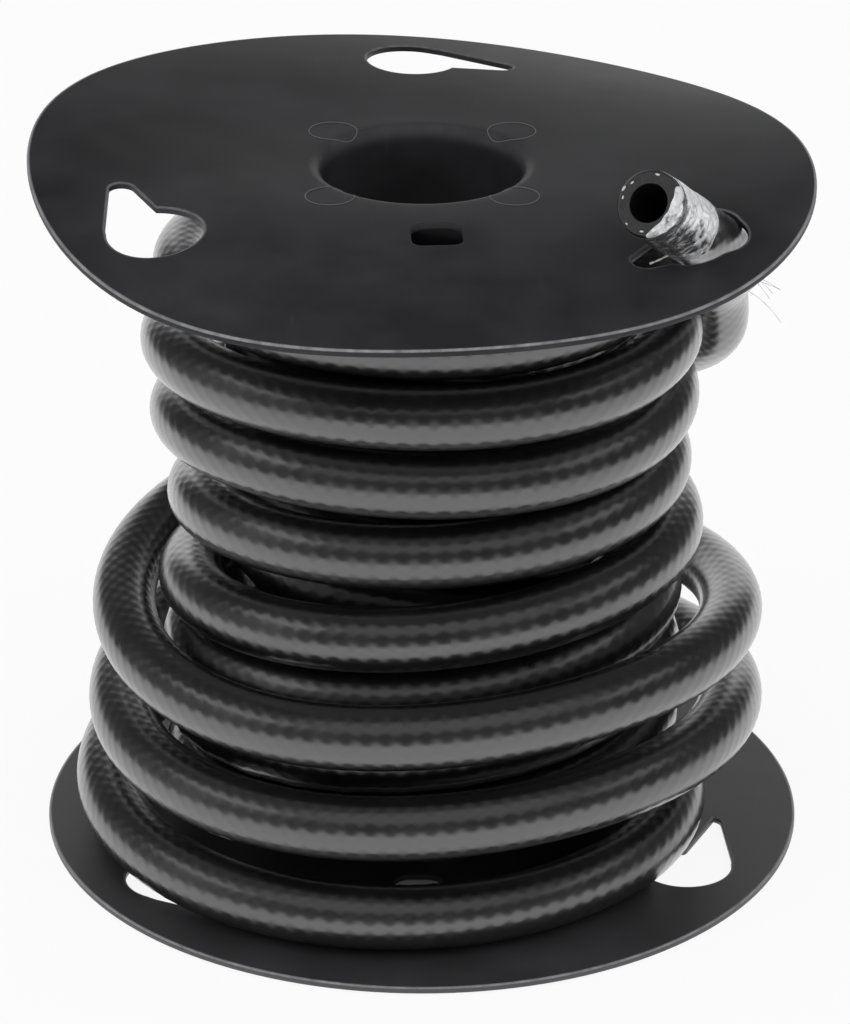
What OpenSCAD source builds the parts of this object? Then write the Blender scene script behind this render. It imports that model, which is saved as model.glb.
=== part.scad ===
// Moulded plastic reel with one length of reinforced rubber hose wound on it.
// The origin is at the middle of the bottom flange's resting face, +Z up, millimetres.

/* [Reel] */
// Outer diameter of both flanges
flange_dia = 229; // [210:1:280]
// Height over both flanges at the hub
reel_height = 211.5; // [195:0.5:260]
// Wall thickness of the flanges
flange_thick = 2; // [1.6:0.1:3]
// Diameter of the arbor hole through the reel
arbor_dia = 58; // [50:0.5:61]
// Rounding at the mouth of the arbor hole
arbor_lip = 4.5; // [2:0.1:5]
// Wall of the arbor sleeve
arbor_wall = 2.5; // [1.5:0.1:3]
// Length of the arbor sleeve inside each flange
sleeve_len = 34; // [20:1:60]

/* [Drum] */
// Outer diameter of the drum tube
drum_dia = 79; // [77:0.5:90]
// Wall of the drum tube
drum_wall = 2.8; // [2:0.1:3.5]
// Depth of the spigot that plugs into the drum tube
spigot_depth = 20; // [10:1:30]
// Wall of the spigot
spigot_wall = 2.2; // [1.5:0.1:2.5]
// Radial clearance of the spigot in the drum tube
spigot_clear = 0.1; // [0.05:0.01:0.3]
// Ribs between the arbor sleeve and the spigot
hub_ribs = 6; // [3:1:12]
// Thickness of a hub rib
rib_thick = 1.6; // [1:0.1:3]

/* [End holes] */
// Holes that hold a hose end, in each flange
hole_count = 3; // [2:1:3]
// Distance of a hole's eye from the reel's axis
eye_radius = 89; // [86:0.2:94]
// Diameter of a hole's round eye
eye_dia = 27.6; // [24:0.1:30]
// Direction of the first eye in the top flange
top_eye_dir = 92.1; // [88:0.1:96]
// Direction of the first eye in the bottom flange
bottom_eye_dir = 92.9; // [80:0.1:100]
// Distance from the eye to the narrow end of a hole
throat_len = 27.2; // [24:0.1:32]
// Radius of the rounded narrow end
throat_tip_r = 3.6; // [1:0.1:4]

/* [Drive hole] */
// Width of the drive hole along the rim
drive_w = 14.4; // [10:0.1:18]
// Depth of the drive hole towards the axis
drive_h = 13.4; // [10:0.1:16]
// Distance of the drive hole from the axis
drive_radius = 53.8; // [52:0.1:60]
// Direction of the drive hole in the top flange
drive_dir = 274.3; // [265:0.1:285]
// Direction of the drive hole in the bottom flange
bottom_drive_dir = 269; // [240:1:300]

/* [Warp of the top flange] */
// Overall droop of the rim
warp_droop = 3.8; // [0:0.1:5]
// Lean of the flange, height at the rim
warp_lean = 7; // [0:0.1:8]
// Saddle shape, height at the rim
warp_saddle = 4.4; // [0:0.1:5]
// Three-lobed wave, height at the rim
warp_triple = 1.5; // [0:0.1:2]
// Four-lobed wave, height at the rim
warp_quad = 1.3; // [0:0.1:2]

/* [Hose] */
// Outer diameter of the hose
hose_dia = 19.05; // [17:0.05:20]
// Bore of the hose
hose_bore = 11.1; // [8:0.1:13]
// Depth to which the cut end is shown open
bore_depth = 30; // [10:1:40]
// Straight end of the hose that stands out of the top flange
end_len = 38; // [30:0.5:60]
// Clearance of the hose from the drum and floor, and round its passage through the top flange
hose_clear = 0.35; // [0.3:0.05:1]

/* [End tape] */
// Length of the tape wrap behind the cut end
tape_len = 27; // [20:1:40]
// Distance of the tape wrap from the cut face
tape_inset = 2; // [0.5:0.5:6]
// Thickness of the tape wrap
tape_thick = 0.35; // [0.2:0.05:1]

/* [Hidden] */
$fn = 96;

flange_r = flange_dia / 2;
arbor_r = arbor_dia / 2;
drum_r = drum_dia / 2;
drum_bore_r = drum_r - drum_wall;
spigot_r = drum_bore_r - spigot_clear;
hub_plate = flange_thick + 1.5;
floor_z = flange_thick;
ceiling_z = reel_height - flange_thick;
arbor_steps = 12;
// The hub's face lies this far under the flange's face, so that their edge is a clean line
hub_seam = 0.05;
seam_r = (arbor_r + arbor_lip + spigot_r) / 2;

// Directions in which the warp terms rise
lean_dir = 122;
saddle_dir = -16;
triple_dir = 34;
quad_dir = 3;
warp_flat_r = drum_r + 0.5;
warp_rings = 9;
warp_sides = 72;

// Finger of an end hole, from the eye's centre: along the rim, then outwards
finger_mid = [4.7, 2.9];
finger_mid_r = 9.3;
throat_rise = -4.4;
// Grip tongue and the slit inside it, in the bottom flange
tongue_tip = [9, -5.2];
tongue_tip_r = 1.7;
tongue_root = [30, -8];
tongue_root_r = 3.6;
slit_mouth = [9, -9.4];
slit_mouth_r = 2.4;
slit_end = [26.5, -13.2];
slit_end_r = 1.5;
drive_back_r = 5;
drive_front_r = 3;

tape_inner_r = hose_dia / 2 + 0.1;
tape_outer_r = tape_inner_r + tape_thick;

// ---- Route of the hose, clockwise seen from above, four stations to a turn ----
turn_rings = 24;
// The first station lies at start_dir. Heights and stand-off from the drum are in hose diameters.
start_dir = 135;
quarter_rings = turn_rings / 4;
// Second layer on its way down: drop below the top flange, then stand-off from the drum
upper_lay = [
    [0.63, 0.52], [0.94, 1.39], [1.36, 1.60], [1.37, 1.57],
    [1.66, 1.58], [2.22, 1.58], [2.37, 1.94], [2.45, 1.82],
    [2.97, 1.76], [3.49, 1.73], [3.61, 1.75], [3.59, 1.73],
    [4.20, 1.60], [4.65, 1.63], [4.73, 1.63], [5.00, 1.44],
    [5.61, 1.47], [5.75, 1.77], [5.83, 1.86], [6.39, 1.65],
    [6.93, 1.55]];
// Covered turns between the two lists, each this many diameters apart at least
covered_pitch = 1.05;
covered_stand = 1.54;
// Ripple of the covered turns at the four stations of a turn
covered_ripple = [0, 0.345, 0.495, 0.25];
// Third layer on its way up: height over the bottom flange, then stand-off from the drum
lower_lay = [
    [0.79, 1.55], [0.55, 1.60], [0.53, 2.32], [0.55, 2.93],
    [0.92, 2.93], [1.70, 2.89], [2.27, 2.82], [1.94, 2.74],
    [2.33, 2.76], [3.23, 2.81], [3.81, 2.79], [3.42, 2.60],
    [4.09, 2.73]];
// Riser behind the reel: direction, share of the climb, stand-off from the drum
riser = [
    [90, 0.17, 2.85], [60, 0.28, 2.91], [37.5, 0.42, 3.01],
    [21, 0.57, 2.87], [7.6, 0.78, 2.55], [-5.1, 0.90, 2.70]];
// Dent that the riser presses into the upper turns: depth in diameters, direction, width
dent_depth = 0.19;
dent_dir = 6;
dent_width = 12;
dent_turns = 2;
// Straight end: direction and slope of the hose where it passes the top flange
end_dir = -119;
end_slope = 33;
end_back = 21.5;
end_ahead = 2.7;
end_outward = 1.4;
end_depth = 4.2;

function polar(r, a) = [r * cos(a), r * sin(a)];
function unit(v) = v / norm(v);

// Height of the top flange's face over its flat hub
function warp(x, y) =
    let(t = max(0, (norm([x, y]) - warp_flat_r) / (flange_r - warp_flat_r)), a = atan2(y, x))
    - warp_droop * pow(t, 2)
    + warp_lean * pow(t, 1.5) * cos(a - lean_dir)
    + warp_saddle * pow(t, 2) * cos(2 * (a - saddle_dir))
    + warp_triple * pow(t, 3) * cos(3 * (a - triple_dir))
    + warp_quad * pow(t, 3) * cos(4 * (a - quad_dir));

// Smooth curve through b and c with neighbours a and d
function blend(a, b, c, d, t) =
    0.5 * (2 * b + (c - a) * t + (2 * a - 5 * b + 4 * c - d) * t * t + (3 * b - a - 3 * c + d) * t * t * t);

// Difference of two directions, from -180 to 180
function turn_between(a, b) = ((a - b + 180) % 360 + 360) % 360 - 180;
function dent(k, a) =
    k > 0 && k < 4 * dent_turns + 1
        ? dent_depth * hose_dia * exp(-pow(turn_between(a, dent_dir) / dent_width, 2)) : 0;

// Stations as [direction, radius, height]
function station(k, height, stand) = [start_dir - 90 * k, drum_r + stand * hose_dia, height];
upper_stations = [for (k = [0:len(upper_lay) - 1])
    station(k, ceiling_z - upper_lay[k][0] * hose_dia, upper_lay[k][1])];
cover_top = ceiling_z - upper_lay[len(upper_lay) - 1][0] * hose_dia;
cover_bottom = floor_z + lower_lay[0][0] * hose_dia;
covered_turns = max(1, floor((cover_top - cover_bottom) / (covered_pitch * hose_dia)));
covered_count = 4 * covered_turns - 1;
cover_step = (cover_top - cover_bottom) / (covered_count + 1);
covered_stations = [for (k = [1:covered_count])
    station(len(upper_lay) - 1 + k,
            cover_top - cover_step * k + covered_ripple[k % 4] * hose_dia * 0.98, covered_stand)];
lower_start = len(upper_lay) + covered_count;
lower_stations = [for (k = [0:len(lower_lay) - 1])
    station(lower_start + k, floor_z + lower_lay[k][0] * hose_dia, lower_lay[k][1])];
stations = concat(upper_stations, covered_stations, lower_stations);

function on_cylinder(s) = [s[1] * cos(s[0]), s[1] * sin(s[0]), s[2]];
// The straight end passes through the top flange beside its last eye
grip_eye_dir = top_eye_dir - 120;
passage_flat = polar(eye_radius + end_outward, grip_eye_dir - end_ahead);
passage = [passage_flat[0], passage_flat[1], reel_height - end_depth];
end_axis = [cos(end_slope) * cos(end_dir), cos(end_slope) * sin(end_dir), sin(end_slope)];
end_root = passage - end_axis * end_back;
cut_face = passage + end_axis * end_len;
climb_from = floor_z + lower_lay[len(lower_lay) - 1][0] * hose_dia;
riser_points = concat(
    [on_cylinder(stations[len(stations) - 1])],
    [for (p = riser) on_cylinder([p[0], drum_r + p[2] * hose_dia, climb_from + p[1] * (end_root[2] - climb_from)])],
    [end_root, cut_face]);
before_riser = on_cylinder(blend(
    stations[len(stations) - 3], stations[len(stations) - 2],
    stations[len(stations) - 1], stations[len(stations) - 1] + [-90, 0, 0], 0.5));

// Rings of the wound turns
wound = [for (k = [0:len(stations) - 2], j = [0:quarter_rings - 1])
    let(b = stations[k],
        c = stations[k + 1],
        a = k > 0 ? stations[k - 1] : [b[0] + 90, 2 * b[1] - c[1] - 3, b[2]],
        d = k < len(stations) - 2 ? stations[k + 2] : [c[0] - 45, c[1] + 2, c[2] + 18],
        p = blend(a, b, c, d, j / quarter_rings),
        dir = b[0] - 90 * j / quarter_rings)
    on_cylinder([dir, p[1] - dent(k, dir), p[2]])];
riser_steps = 4;
rising = [for (k = [0:len(riser_points) - 3], j = [0:riser_steps - 1])
    let(a = k > 0 ? riser_points[k - 1] : before_riser)
    blend(a, riser_points[k], riser_points[k + 1], riser_points[k + 2], j / riser_steps)];
end_steps = 4;
end_rings = [for (j = [0:end_steps]) end_root + (cut_face - end_root) * j / end_steps];
// The first ring is square to the inner layer's end, and the hose runs straight for one diameter
start_point = on_cylinder(stations[0]);
start_axis = [sin(start_dir), -cos(start_dir), 0];
start_rings = [for (j = [0:3]) start_point + start_axis * hose_dia * j / 3];
route = concat(start_rings, [for (k = [2:len(wound) - 1]) wound[k]], rising, end_rings);

// ---- Least gap of the hose to itself, from every ring to every chord of another turn ----
along = [for (i = 1, s = 0; i <= len(route); s = s + norm(route[min(i, len(route) - 1)] - route[i - 1]), i = i + 1) s];
function chord_gap(p, a, b) =
    let(ab = b - a, t = max(0, min(1, ((p - a) * ab) / (ab * ab))))
    norm(a + ab * t - p) - hose_dia;
// Chords nearer along the hose than this are the ring's own neighbours
own_length = 2.5 * hose_dia;
gaps = [for (i = [0:len(route) - 1], j = [i + 1:1:len(route) - 2])
    if (along[j] - along[i] > own_length) [chord_gap(route[i], route[j], route[j + 1]), i, j]];
self_gap = min([for (g = gaps) g[0]]);
tightest = [for (g = gaps) if (g[0] == self_gap) g][0];
echo(str("least gap of the hose to itself, mm: ", self_gap, " between rings ", tightest[1], " and ", tightest[2]));
echo(str("turns: ", (len(stations) - 1) / 4, ", wound length shown, mm: ", along[len(route) - 1]));

// ---- Outlines ----
// Two round ends and the flanks between them, as one outline
module taper(a, ra, b, rb, steps = 10) {
    d = b - a;
    dir = atan2(d[1], d[0]);
    flank = acos((ra - rb) / norm(d));
    polygon(concat(
        [for (k = [0:steps]) a + polar(ra, dir + flank + (360 - 2 * flank) * k / steps)],
        [for (k = [0:steps]) b + polar(rb, dir - flank + 2 * flank * k / steps)]));
}

// One end hole, its eye at [0, eye_radius] and its finger towards +X
module end_hole(depth) {
    finger_tip = [throat_len, eye_radius + throat_rise];
    translate([0, eye_radius, 0]) cylinder(d = eye_dia, h = depth);
    linear_extrude(depth) taper(finger_tip, throat_tip_r, finger_mid + [0, eye_radius], finger_mid_r);
}

// The same hole with its grip tongue and the slit inside it
module tongue_hole(depth) {
    axis_shift = [0, eye_radius];
    difference() {
        union() {
            end_hole(depth);
            linear_extrude(depth)
                taper(slit_end + axis_shift, slit_end_r, slit_mouth + axis_shift, slit_mouth_r);
        }
        translate([0, 0, -1]) linear_extrude(depth + 2)
            taper(tongue_root + axis_shift, tongue_root_r, tongue_tip + axis_shift, tongue_tip_r);
    }
}

// Drive hole on the +X axis: straight towards the rim, rounder towards the reel's axis
module drive_hole(depth) {
    outer = drive_radius + drive_h / 2;
    inner = drive_radius - drive_h / 2;
    half = drive_w / 2;
    linear_extrude(depth) {
        for (s = [-1, 1]) {
            translate([outer - drive_front_r, s * (half - drive_front_r)]) circle(drive_front_r);
            translate([inner + drive_back_r, s * (half - drive_back_r)]) circle(drive_back_r);
        }
        translate([inner + drive_back_r, -half]) square([drive_h - drive_front_r - drive_back_r, drive_w]);
        translate([inner + drive_back_r, drive_front_r - half])
            square([drive_h - drive_back_r, drive_w - 2 * drive_front_r]);
        translate([inner, drive_back_r - half]) square([drive_h - drive_front_r, drive_w - 2 * drive_back_r]);
    }
}

// ---- Hub, its outer face at z = 0 and the rest below ----
module hub() {
    lip_arc = [for (k = [0:arbor_steps])
        [arbor_r + arbor_lip, -arbor_lip - hub_seam] + polar(arbor_lip, 180 - 90 * k / arbor_steps)];
    outline = concat(
        [[arbor_r, -sleeve_len]],
        lip_arc,
        [[spigot_r, -hub_seam], [spigot_r, -flange_thick - spigot_depth],
         [spigot_r - spigot_wall, -flange_thick - spigot_depth], [spigot_r - spigot_wall, -hub_plate],
         [arbor_r + arbor_wall, -hub_plate], [arbor_r + arbor_wall, -sleeve_len]]);
    rotate_extrude() polygon(outline);
    rib_from = arbor_r + arbor_wall - 0.5;
    rib_to = spigot_r - spigot_wall + 0.5;
    for (k = [0:hub_ribs - 1]) rotate(360 * k / hub_ribs)
        translate([rib_from, -rib_thick / 2, -flange_thick - spigot_depth + 1])
            cube([rib_to - rib_from, rib_thick, spigot_depth]);
}

// Disc of the top flange: a warped sheet with a flat middle
module warped_disc() {
    radii = concat([seam_r], [for (k = [0:warp_rings]) warp_flat_r + (flange_r - warp_flat_r) * k / warp_rings]);
    rings = len(radii);
    sheet = [for (i = [0:rings - 1], j = [0:warp_sides - 1])
        let(p = polar(radii[i], 360 * j / warp_sides)) [p[0], p[1], warp(p[0], p[1])]];
    under = [for (p = sheet) p - [0, 0, flange_thick]];
    count = len(sheet);
    function at(i, j) = i * warp_sides + j % warp_sides;
    faces = concat(
        [for (i = [0:rings - 2], j = [0:warp_sides - 1]) each
            [[at(i, j), at(i + 1, j + 1), at(i + 1, j)], [at(i, j), at(i, j + 1), at(i + 1, j + 1)],
             [at(i, j) + count, at(i + 1, j) + count, at(i + 1, j + 1) + count],
             [at(i, j) + count, at(i + 1, j + 1) + count, at(i, j + 1) + count]]],
        [for (j = [0:warp_sides - 1]) each
            [[at(rings - 1, j), at(rings - 1, j + 1), at(rings - 1, j + 1) + count],
             [at(rings - 1, j), at(rings - 1, j + 1) + count, at(rings - 1, j) + count],
             [at(0, j + 1), at(0, j), at(0, j) + count],
             [at(0, j + 1), at(0, j) + count, at(0, j + 1) + count]]]);
    polyhedron(concat(sheet, under), faces);
}

// Hexagonal sweep of the hose along its route, with an open bore at the cut end
function across(axis) = unit(cross(axis, [0, 0, 1]));
function ring_points(centre, axis, r) =
    let(u = across(axis), v = cross(u, axis))
    [for (k = [0:5]) centre + r * (cos(60 * k + 30) * u + sin(60 * k + 30) * v)];
function axis_at(k) =
    k == 0 ? start_axis :
    k >= len(route) - end_steps - 1 ? end_axis :
    unit(route[k + 1] - route[k - 1]);

module hose_form() {
    last = len(route) - 1;
    body = [for (k = [0:last]) each ring_points(route[k], axis_at(k), hose_dia / 2)];
    bore_mouth = ring_points(cut_face, end_axis, hose_bore / 2);
    bore_floor = ring_points(cut_face - end_axis * bore_depth, end_axis, hose_bore / 2);
    mouth = len(body);
    bottom = mouth + 6;
    function next(k) = (k + 1) % 6;
    walls = [for (i = [0:last - 1], k = [0:5]) each
        [[6 * i + k, 6 * i + next(k), 6 * i + 6 + next(k)], [6 * i + k, 6 * i + 6 + next(k), 6 * i + 6 + k]]];
    start_cap = [for (k = [1:4]) [0, k + 1, k]];
    rim = [for (k = [0:5]) each
        [[6 * last + k, 6 * last + next(k), mouth + next(k)], [6 * last + k, mouth + next(k), mouth + k]]];
    bore = [for (k = [0:5]) each
        [[mouth + k, mouth + next(k), bottom + next(k)], [mouth + k, bottom + next(k), bottom + k]]];
    bore_cap = [for (k = [1:4]) [bottom, bottom + k, bottom + k + 1]];
    polyhedron(concat(body, bore_mouth, bore_floor), concat(walls, start_cap, rim, bore, bore_cap));
}

// Things on the straight end are drawn along +Z from the cut face and turned onto its axis
module on_hose_end() {
    translate(cut_face) rotate([0, end_slope - 90, end_dir + 180]) children();
}

// ---- Nodes ----
module bottom_flange() color([0.16, 0.16, 0.17]) {
    difference() {
        union() {
            difference() {
                cylinder(r = flange_r, h = flange_thick);
                translate([0, 0, -1]) cylinder(r = seam_r, h = flange_thick + 2);
            }
            mirror([0, 0, 1]) hub();
        }
        for (k = [0:hole_count - 1]) rotate(bottom_eye_dir - 90 + 120 * k)
            mirror([1, 0, 0]) translate([0, 0, -1]) tongue_hole(flange_thick + 2);
        rotate(bottom_drive_dir) translate([0, 0, -1]) drive_hole(flange_thick + 2);
    }
}

module top_flange() color([0.2, 0.2, 0.21]) {
    reach = warp_droop + warp_lean + warp_saddle + warp_triple + warp_quad + flange_thick;
    difference() {
        translate([0, 0, reel_height]) {
            warped_disc();
            hub();
        }
        for (k = [0:hole_count - 1]) rotate(top_eye_dir - 90 - 120 * k)
            translate([0, 0, reel_height - reach]) end_hole(2 * reach);
        rotate(drive_dir) translate([0, 0, reel_height - reach]) drive_hole(2 * reach);
        on_hose_end() translate([0, 0, -end_len - end_back])
            cylinder(r = tape_outer_r + hose_clear, h = end_len + end_back);
    }
}

module drum_tube() color([0.25, 0.24, 0.23]) {
    translate([0, 0, floor_z]) difference() {
        cylinder(r = drum_r, h = ceiling_z - floor_z);
        translate([0, 0, -1]) cylinder(r = drum_bore_r, h = ceiling_z - floor_z + 2);
    }
}

// Plain core that stands for the first layer, with a higher course that ends where the outer turns begin
module hose_inner_layer() color([0.09, 0.09, 0.1]) {
    inner_r = drum_r + hose_clear;
    body_r = drum_r + 0.866 * hose_dia;
    course_r = drum_r + 1.013 * hose_dia;
    body_top = ceiling_z - 1.34 * hose_dia;
    course_top = ceiling_z - 0.13 * hose_dia;
    difference() {
        union() {
            translate([0, 0, floor_z + hose_clear]) cylinder(r = body_r, h = body_top - floor_z - hose_clear);
            rotate(start_dir) translate([0, 0, body_top - 1])
                rotate_extrude(angle = 210) square([course_r, course_top - body_top + 1]);
        }
        translate([0, 0, -1]) cylinder(r = inner_r, h = reel_height + 2);
    }
}

module hose_outer_turns() color([0.1, 0.1, 0.11]) {
    hose_form();
}

module end_tape() color([0.55, 0.55, 0.56]) {
    on_hose_end() translate([0, 0, -tape_inset - tape_len]) difference() {
        cylinder(r = tape_outer_r, h = tape_len);
        translate([0, 0, -1]) cylinder(r = tape_inner_r, h = tape_len + 2);
    }
}

bottom_flange();
top_flange();
drum_tube();
hose_inner_layer();
hose_outer_turns();
end_tape();
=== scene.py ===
"""Looks of the hose reel: moulded flanges, braided rubber hose, film tape, loose yarns and the studio."""

import logging
import math
from collections.abc import Callable
from dataclasses import dataclass, field
from enum import Enum
from functools import partial
from typing import Any

import bmesh
import bpy
import numpy as np
from bmesh.types import BMesh, BMVert
from bpy.types import Material, Mesh, Node, NodeSocket, NodeTree, Object
from mathutils import Matrix, Vector
from mathutils.geometry import delaunay_2d_cdt


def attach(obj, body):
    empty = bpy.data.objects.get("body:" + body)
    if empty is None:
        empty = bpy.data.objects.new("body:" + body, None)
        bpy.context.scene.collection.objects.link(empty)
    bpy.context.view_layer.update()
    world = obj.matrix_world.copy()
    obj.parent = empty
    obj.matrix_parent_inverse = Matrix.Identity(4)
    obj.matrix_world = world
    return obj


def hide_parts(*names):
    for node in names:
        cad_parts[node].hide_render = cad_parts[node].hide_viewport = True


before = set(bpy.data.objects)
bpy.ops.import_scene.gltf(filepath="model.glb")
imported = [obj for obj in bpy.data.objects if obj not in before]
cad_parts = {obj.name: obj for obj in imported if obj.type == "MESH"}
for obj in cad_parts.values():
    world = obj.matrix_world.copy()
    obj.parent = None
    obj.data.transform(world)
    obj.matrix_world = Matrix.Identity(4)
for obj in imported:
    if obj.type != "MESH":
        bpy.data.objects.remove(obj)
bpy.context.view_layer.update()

MM = 0.001
WHITE = (1.0, 1.0, 1.0, 1.0)
LOG = logging.getLogger("hose_reel")
Adder = Callable[..., Node]
# Two round ends and the flanks between them: a centre and its radius, twice
Taper = tuple[tuple[float, float], float, tuple[float, float], float]


class Side(Enum):
    """Which flange of the reel."""

    TOP = 1
    BOTTOM = -1


class HoleForm(Enum):
    """Form of an end hole in a flange."""

    PLAIN = "plain"
    TONGUED = "tongued"


# ---------------------------------------------------------------- small helpers


def linear(hex_colour: str) -> tuple[float, ...]:
    """Turn an sRGB hex colour into linear RGBA.

    Args:
        hex_colour: A hash and six hex digits.

    Returns:
        Linear red, green, blue and an alpha of 1.
    """
    parts = [int(hex_colour[i:i + 2], 16) / 255 for i in (1, 3, 5)]
    return (*(c / 12.92 if c <= 0.04045 else ((c + 0.055) / 1.055) ** 2.4 for c in parts), 1.0)


def add_node(tree: NodeTree, kind: str, inputs: Any = (), **settings: Any) -> Node:
    """Add a node with its settings, and set or link its inputs.

    Args:
        tree: The node tree that takes the node.
        kind: Blender's name of the node type, without the prefix of its family.
        inputs: Values, sockets or nodes for the inputs, by name, or in the order of the sockets in
            use. A node stands for its first output in use.
        **settings: Attributes of the node, such as operation="MULTIPLY".

    Returns:
        The new node.
    """
    families = (tree.bl_idname.removesuffix("Tree"), "ShaderNode", "FunctionNode", "Node")
    node = tree.nodes.new(next(family + kind for family in families if hasattr(bpy.types, family + kind)))
    for name, value in settings.items():
        setattr(node, name, value)
    if not isinstance(inputs, dict):
        inputs = dict(zip([k for k, socket in enumerate(node.inputs) if socket.enabled], inputs))
    for key, value in inputs.items():
        if isinstance(value, Node):
            value = next(socket for socket in value.outputs if socket.enabled)
        if isinstance(value, NodeSocket):
            tree.links.new(value, node.inputs[key])
        else:
            node.inputs[key].default_value = value
    return node


def new_material(name: str, lay_out: Callable[[Adder], Node]) -> Material:
    """Make a material.

    Args:
        name: The material's name.
        lay_out: Adds its nodes and returns the shader.

    Returns:
        The material.
    """
    material = bpy.data.materials.new(name)
    material.use_nodes = True
    material.node_tree.nodes.clear()
    add = partial(add_node, material.node_tree)
    add("OutputMaterial", {"Surface": lay_out(add)})
    return material


def new_piece(name: str, mesh: Mesh) -> Object:
    """Put a mesh into the scene as a piece at the origin.

    Args:
        name: The piece's name.
        mesh: Its mesh, in metres in the reel's frame.

    Returns:
        The new object.
    """
    mesh.name = name
    piece = bpy.data.objects.new(name, mesh)
    bpy.context.scene.collection.objects.link(piece)
    return piece


def mesh_from(points: Any, faces: list[Any]) -> Mesh:
    """Build a smooth-shaded mesh.

    Args:
        points: Points in metres.
        faces: Point numbers of each face.

    Returns:
        The mesh.
    """
    mesh = bpy.data.meshes.new("piece")
    mesh.from_pydata([tuple(map(float, p)) for p in points], [], [tuple(map(int, f)) for f in faces])
    mesh.validate()
    mesh.shade_smooth()
    return mesh


def wall(starts: list[int], n: int) -> list[list[int]]:
    """Faces between rings of points that follow one another.

    Args:
        starts: Number of each ring's first point.
        n: Points in a ring.

    Returns:
        The faces.
    """
    return [[b + k, b + (k + 1) % n, a + (k + 1) % n, a + k]
            for a, b in zip(starts, starts[1:]) for k in range(n)]


def rod(first: int, rings: int, n: int) -> list[list[int]]:
    """Faces of a rod: the wall between its rings and a cap on both ends.

    Args:
        first: Number of its first point.
        rings: Number of its rings.
        n: Points in a ring.

    Returns:
        The faces.
    """
    starts = [first + n * k for k in range(rings)]
    return wall(starts[::-1], n) + [[first + j for j in range(n)][::-1], [starts[-1] + j for j in range(n)]]


def polar(radius: Any, degrees: Any) -> np.ndarray:
    """Points at a radius and a direction.

    Args:
        radius: Radius or radii.
        degrees: Direction or directions, counterclockwise from +X.

    Returns:
        The points, one a row.
    """
    angle = np.radians(degrees)
    return np.stack([radius * np.cos(angle), radius * np.sin(angle)], -1)


def turned(points: np.ndarray, degrees: float) -> np.ndarray:
    """Turn points of a plane counterclockwise about its origin.

    Args:
        points: The points, one a row.
        degrees: The angle.

    Returns:
        The turned points.
    """
    cos, sin = math.cos(math.radians(degrees)), math.sin(math.radians(degrees))
    return points @ np.array([[cos, sin], [-sin, cos]])


def catmull(a: np.ndarray, b: np.ndarray, c: np.ndarray, d: np.ndarray, t: np.ndarray) -> np.ndarray:
    """Smooth curve from b to c, with neighbours a and d.

    Args:
        a: Point before.
        b: Start.
        c: End.
        d: Point after.
        t: Shares of the way, from 0 to 1.

    Returns:
        The curve's points.
    """
    t = np.asarray(t)[:, None]
    return 0.5 * (2 * b + (c - a) * t + (2 * a - 5 * b + 4 * c - d) * t**2 + (3 * b - a - 3 * c + d) * t**3)


class Growth:
    """A Geometry Nodes tree with named inputs for its sizes, built here and run on one piece."""

    def __init__(self, name: str, sizes: dict[str, Any]) -> None:
        """Make the tree with its inputs, before its nodes.

        Args:
            name: The tree's name.
            sizes: Each input's value by its label, with the piece's material as Finish.
        """
        self.tree, self.sizes = bpy.data.node_groups.new(name, "GeometryNodeTree"), sizes
        for way in ("INPUT", "OUTPUT"):
            self.tree.interface.new_socket("Geometry", in_out=way, socket_type="NodeSocketGeometry")
        for label, value in sizes.items():
            kind = "NodeSocket" + type(value).__name__.capitalize()
            self.tree.interface.new_socket(label, in_out="INPUT", socket_type=kind)
        self.add: Adder = partial(add_node, self.tree)
        self.given = self.add("GroupInput").outputs

    def run(self, piece: Object, geometry: Node) -> Object:
        """End the tree, run it on a piece and keep the result as the piece's plain mesh.

        Args:
            piece: The object that carries the tree's input geometry.
            geometry: The node whose first output is the finished geometry.

        Returns:
            The same piece, with no modifier.
        """
        smooth = self.add("SetShadeSmooth", (self.add("RealizeInstances", (geometry,)),))
        dressed = self.add("SetMaterial", {"Geometry": smooth, "Material": self.given["Finish"]})
        self.add("GroupOutput", (dressed,))
        modifier = piece.modifiers.new("grow", "NODES")
        modifier.node_group = self.tree
        for item in self.tree.interface.items_tree:
            if item.name in self.sizes:
                modifier[item.identifier] = self.sizes[item.name]
        graph = bpy.context.evaluated_depsgraph_get()
        graph.update()
        mesh = bpy.data.meshes.new_from_object(piece.evaluated_get(graph))
        piece.modifiers.remove(modifier)
        piece.data, mesh.name = mesh, piece.name
        return piece


# ---------------------------------------------------------------- finishes


@dataclass(frozen=True)
class Finish:
    """A finish, by its name and its main colour."""

    name: str
    colour: str

    def surface(self, add: Adder, place: NodeSocket) -> Node:
        """Lay the finish out.

        Args:
            add: Adds a node to the material's tree.
            place: The point in the reel's frame.

        Returns:
            The shader.
        """
        raise NotImplementedError

    def material(self) -> Material:
        """Build the material."""
        return new_material(self.name, lambda add: self.surface(add, add("TexCoord").outputs["Object"]))


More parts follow.
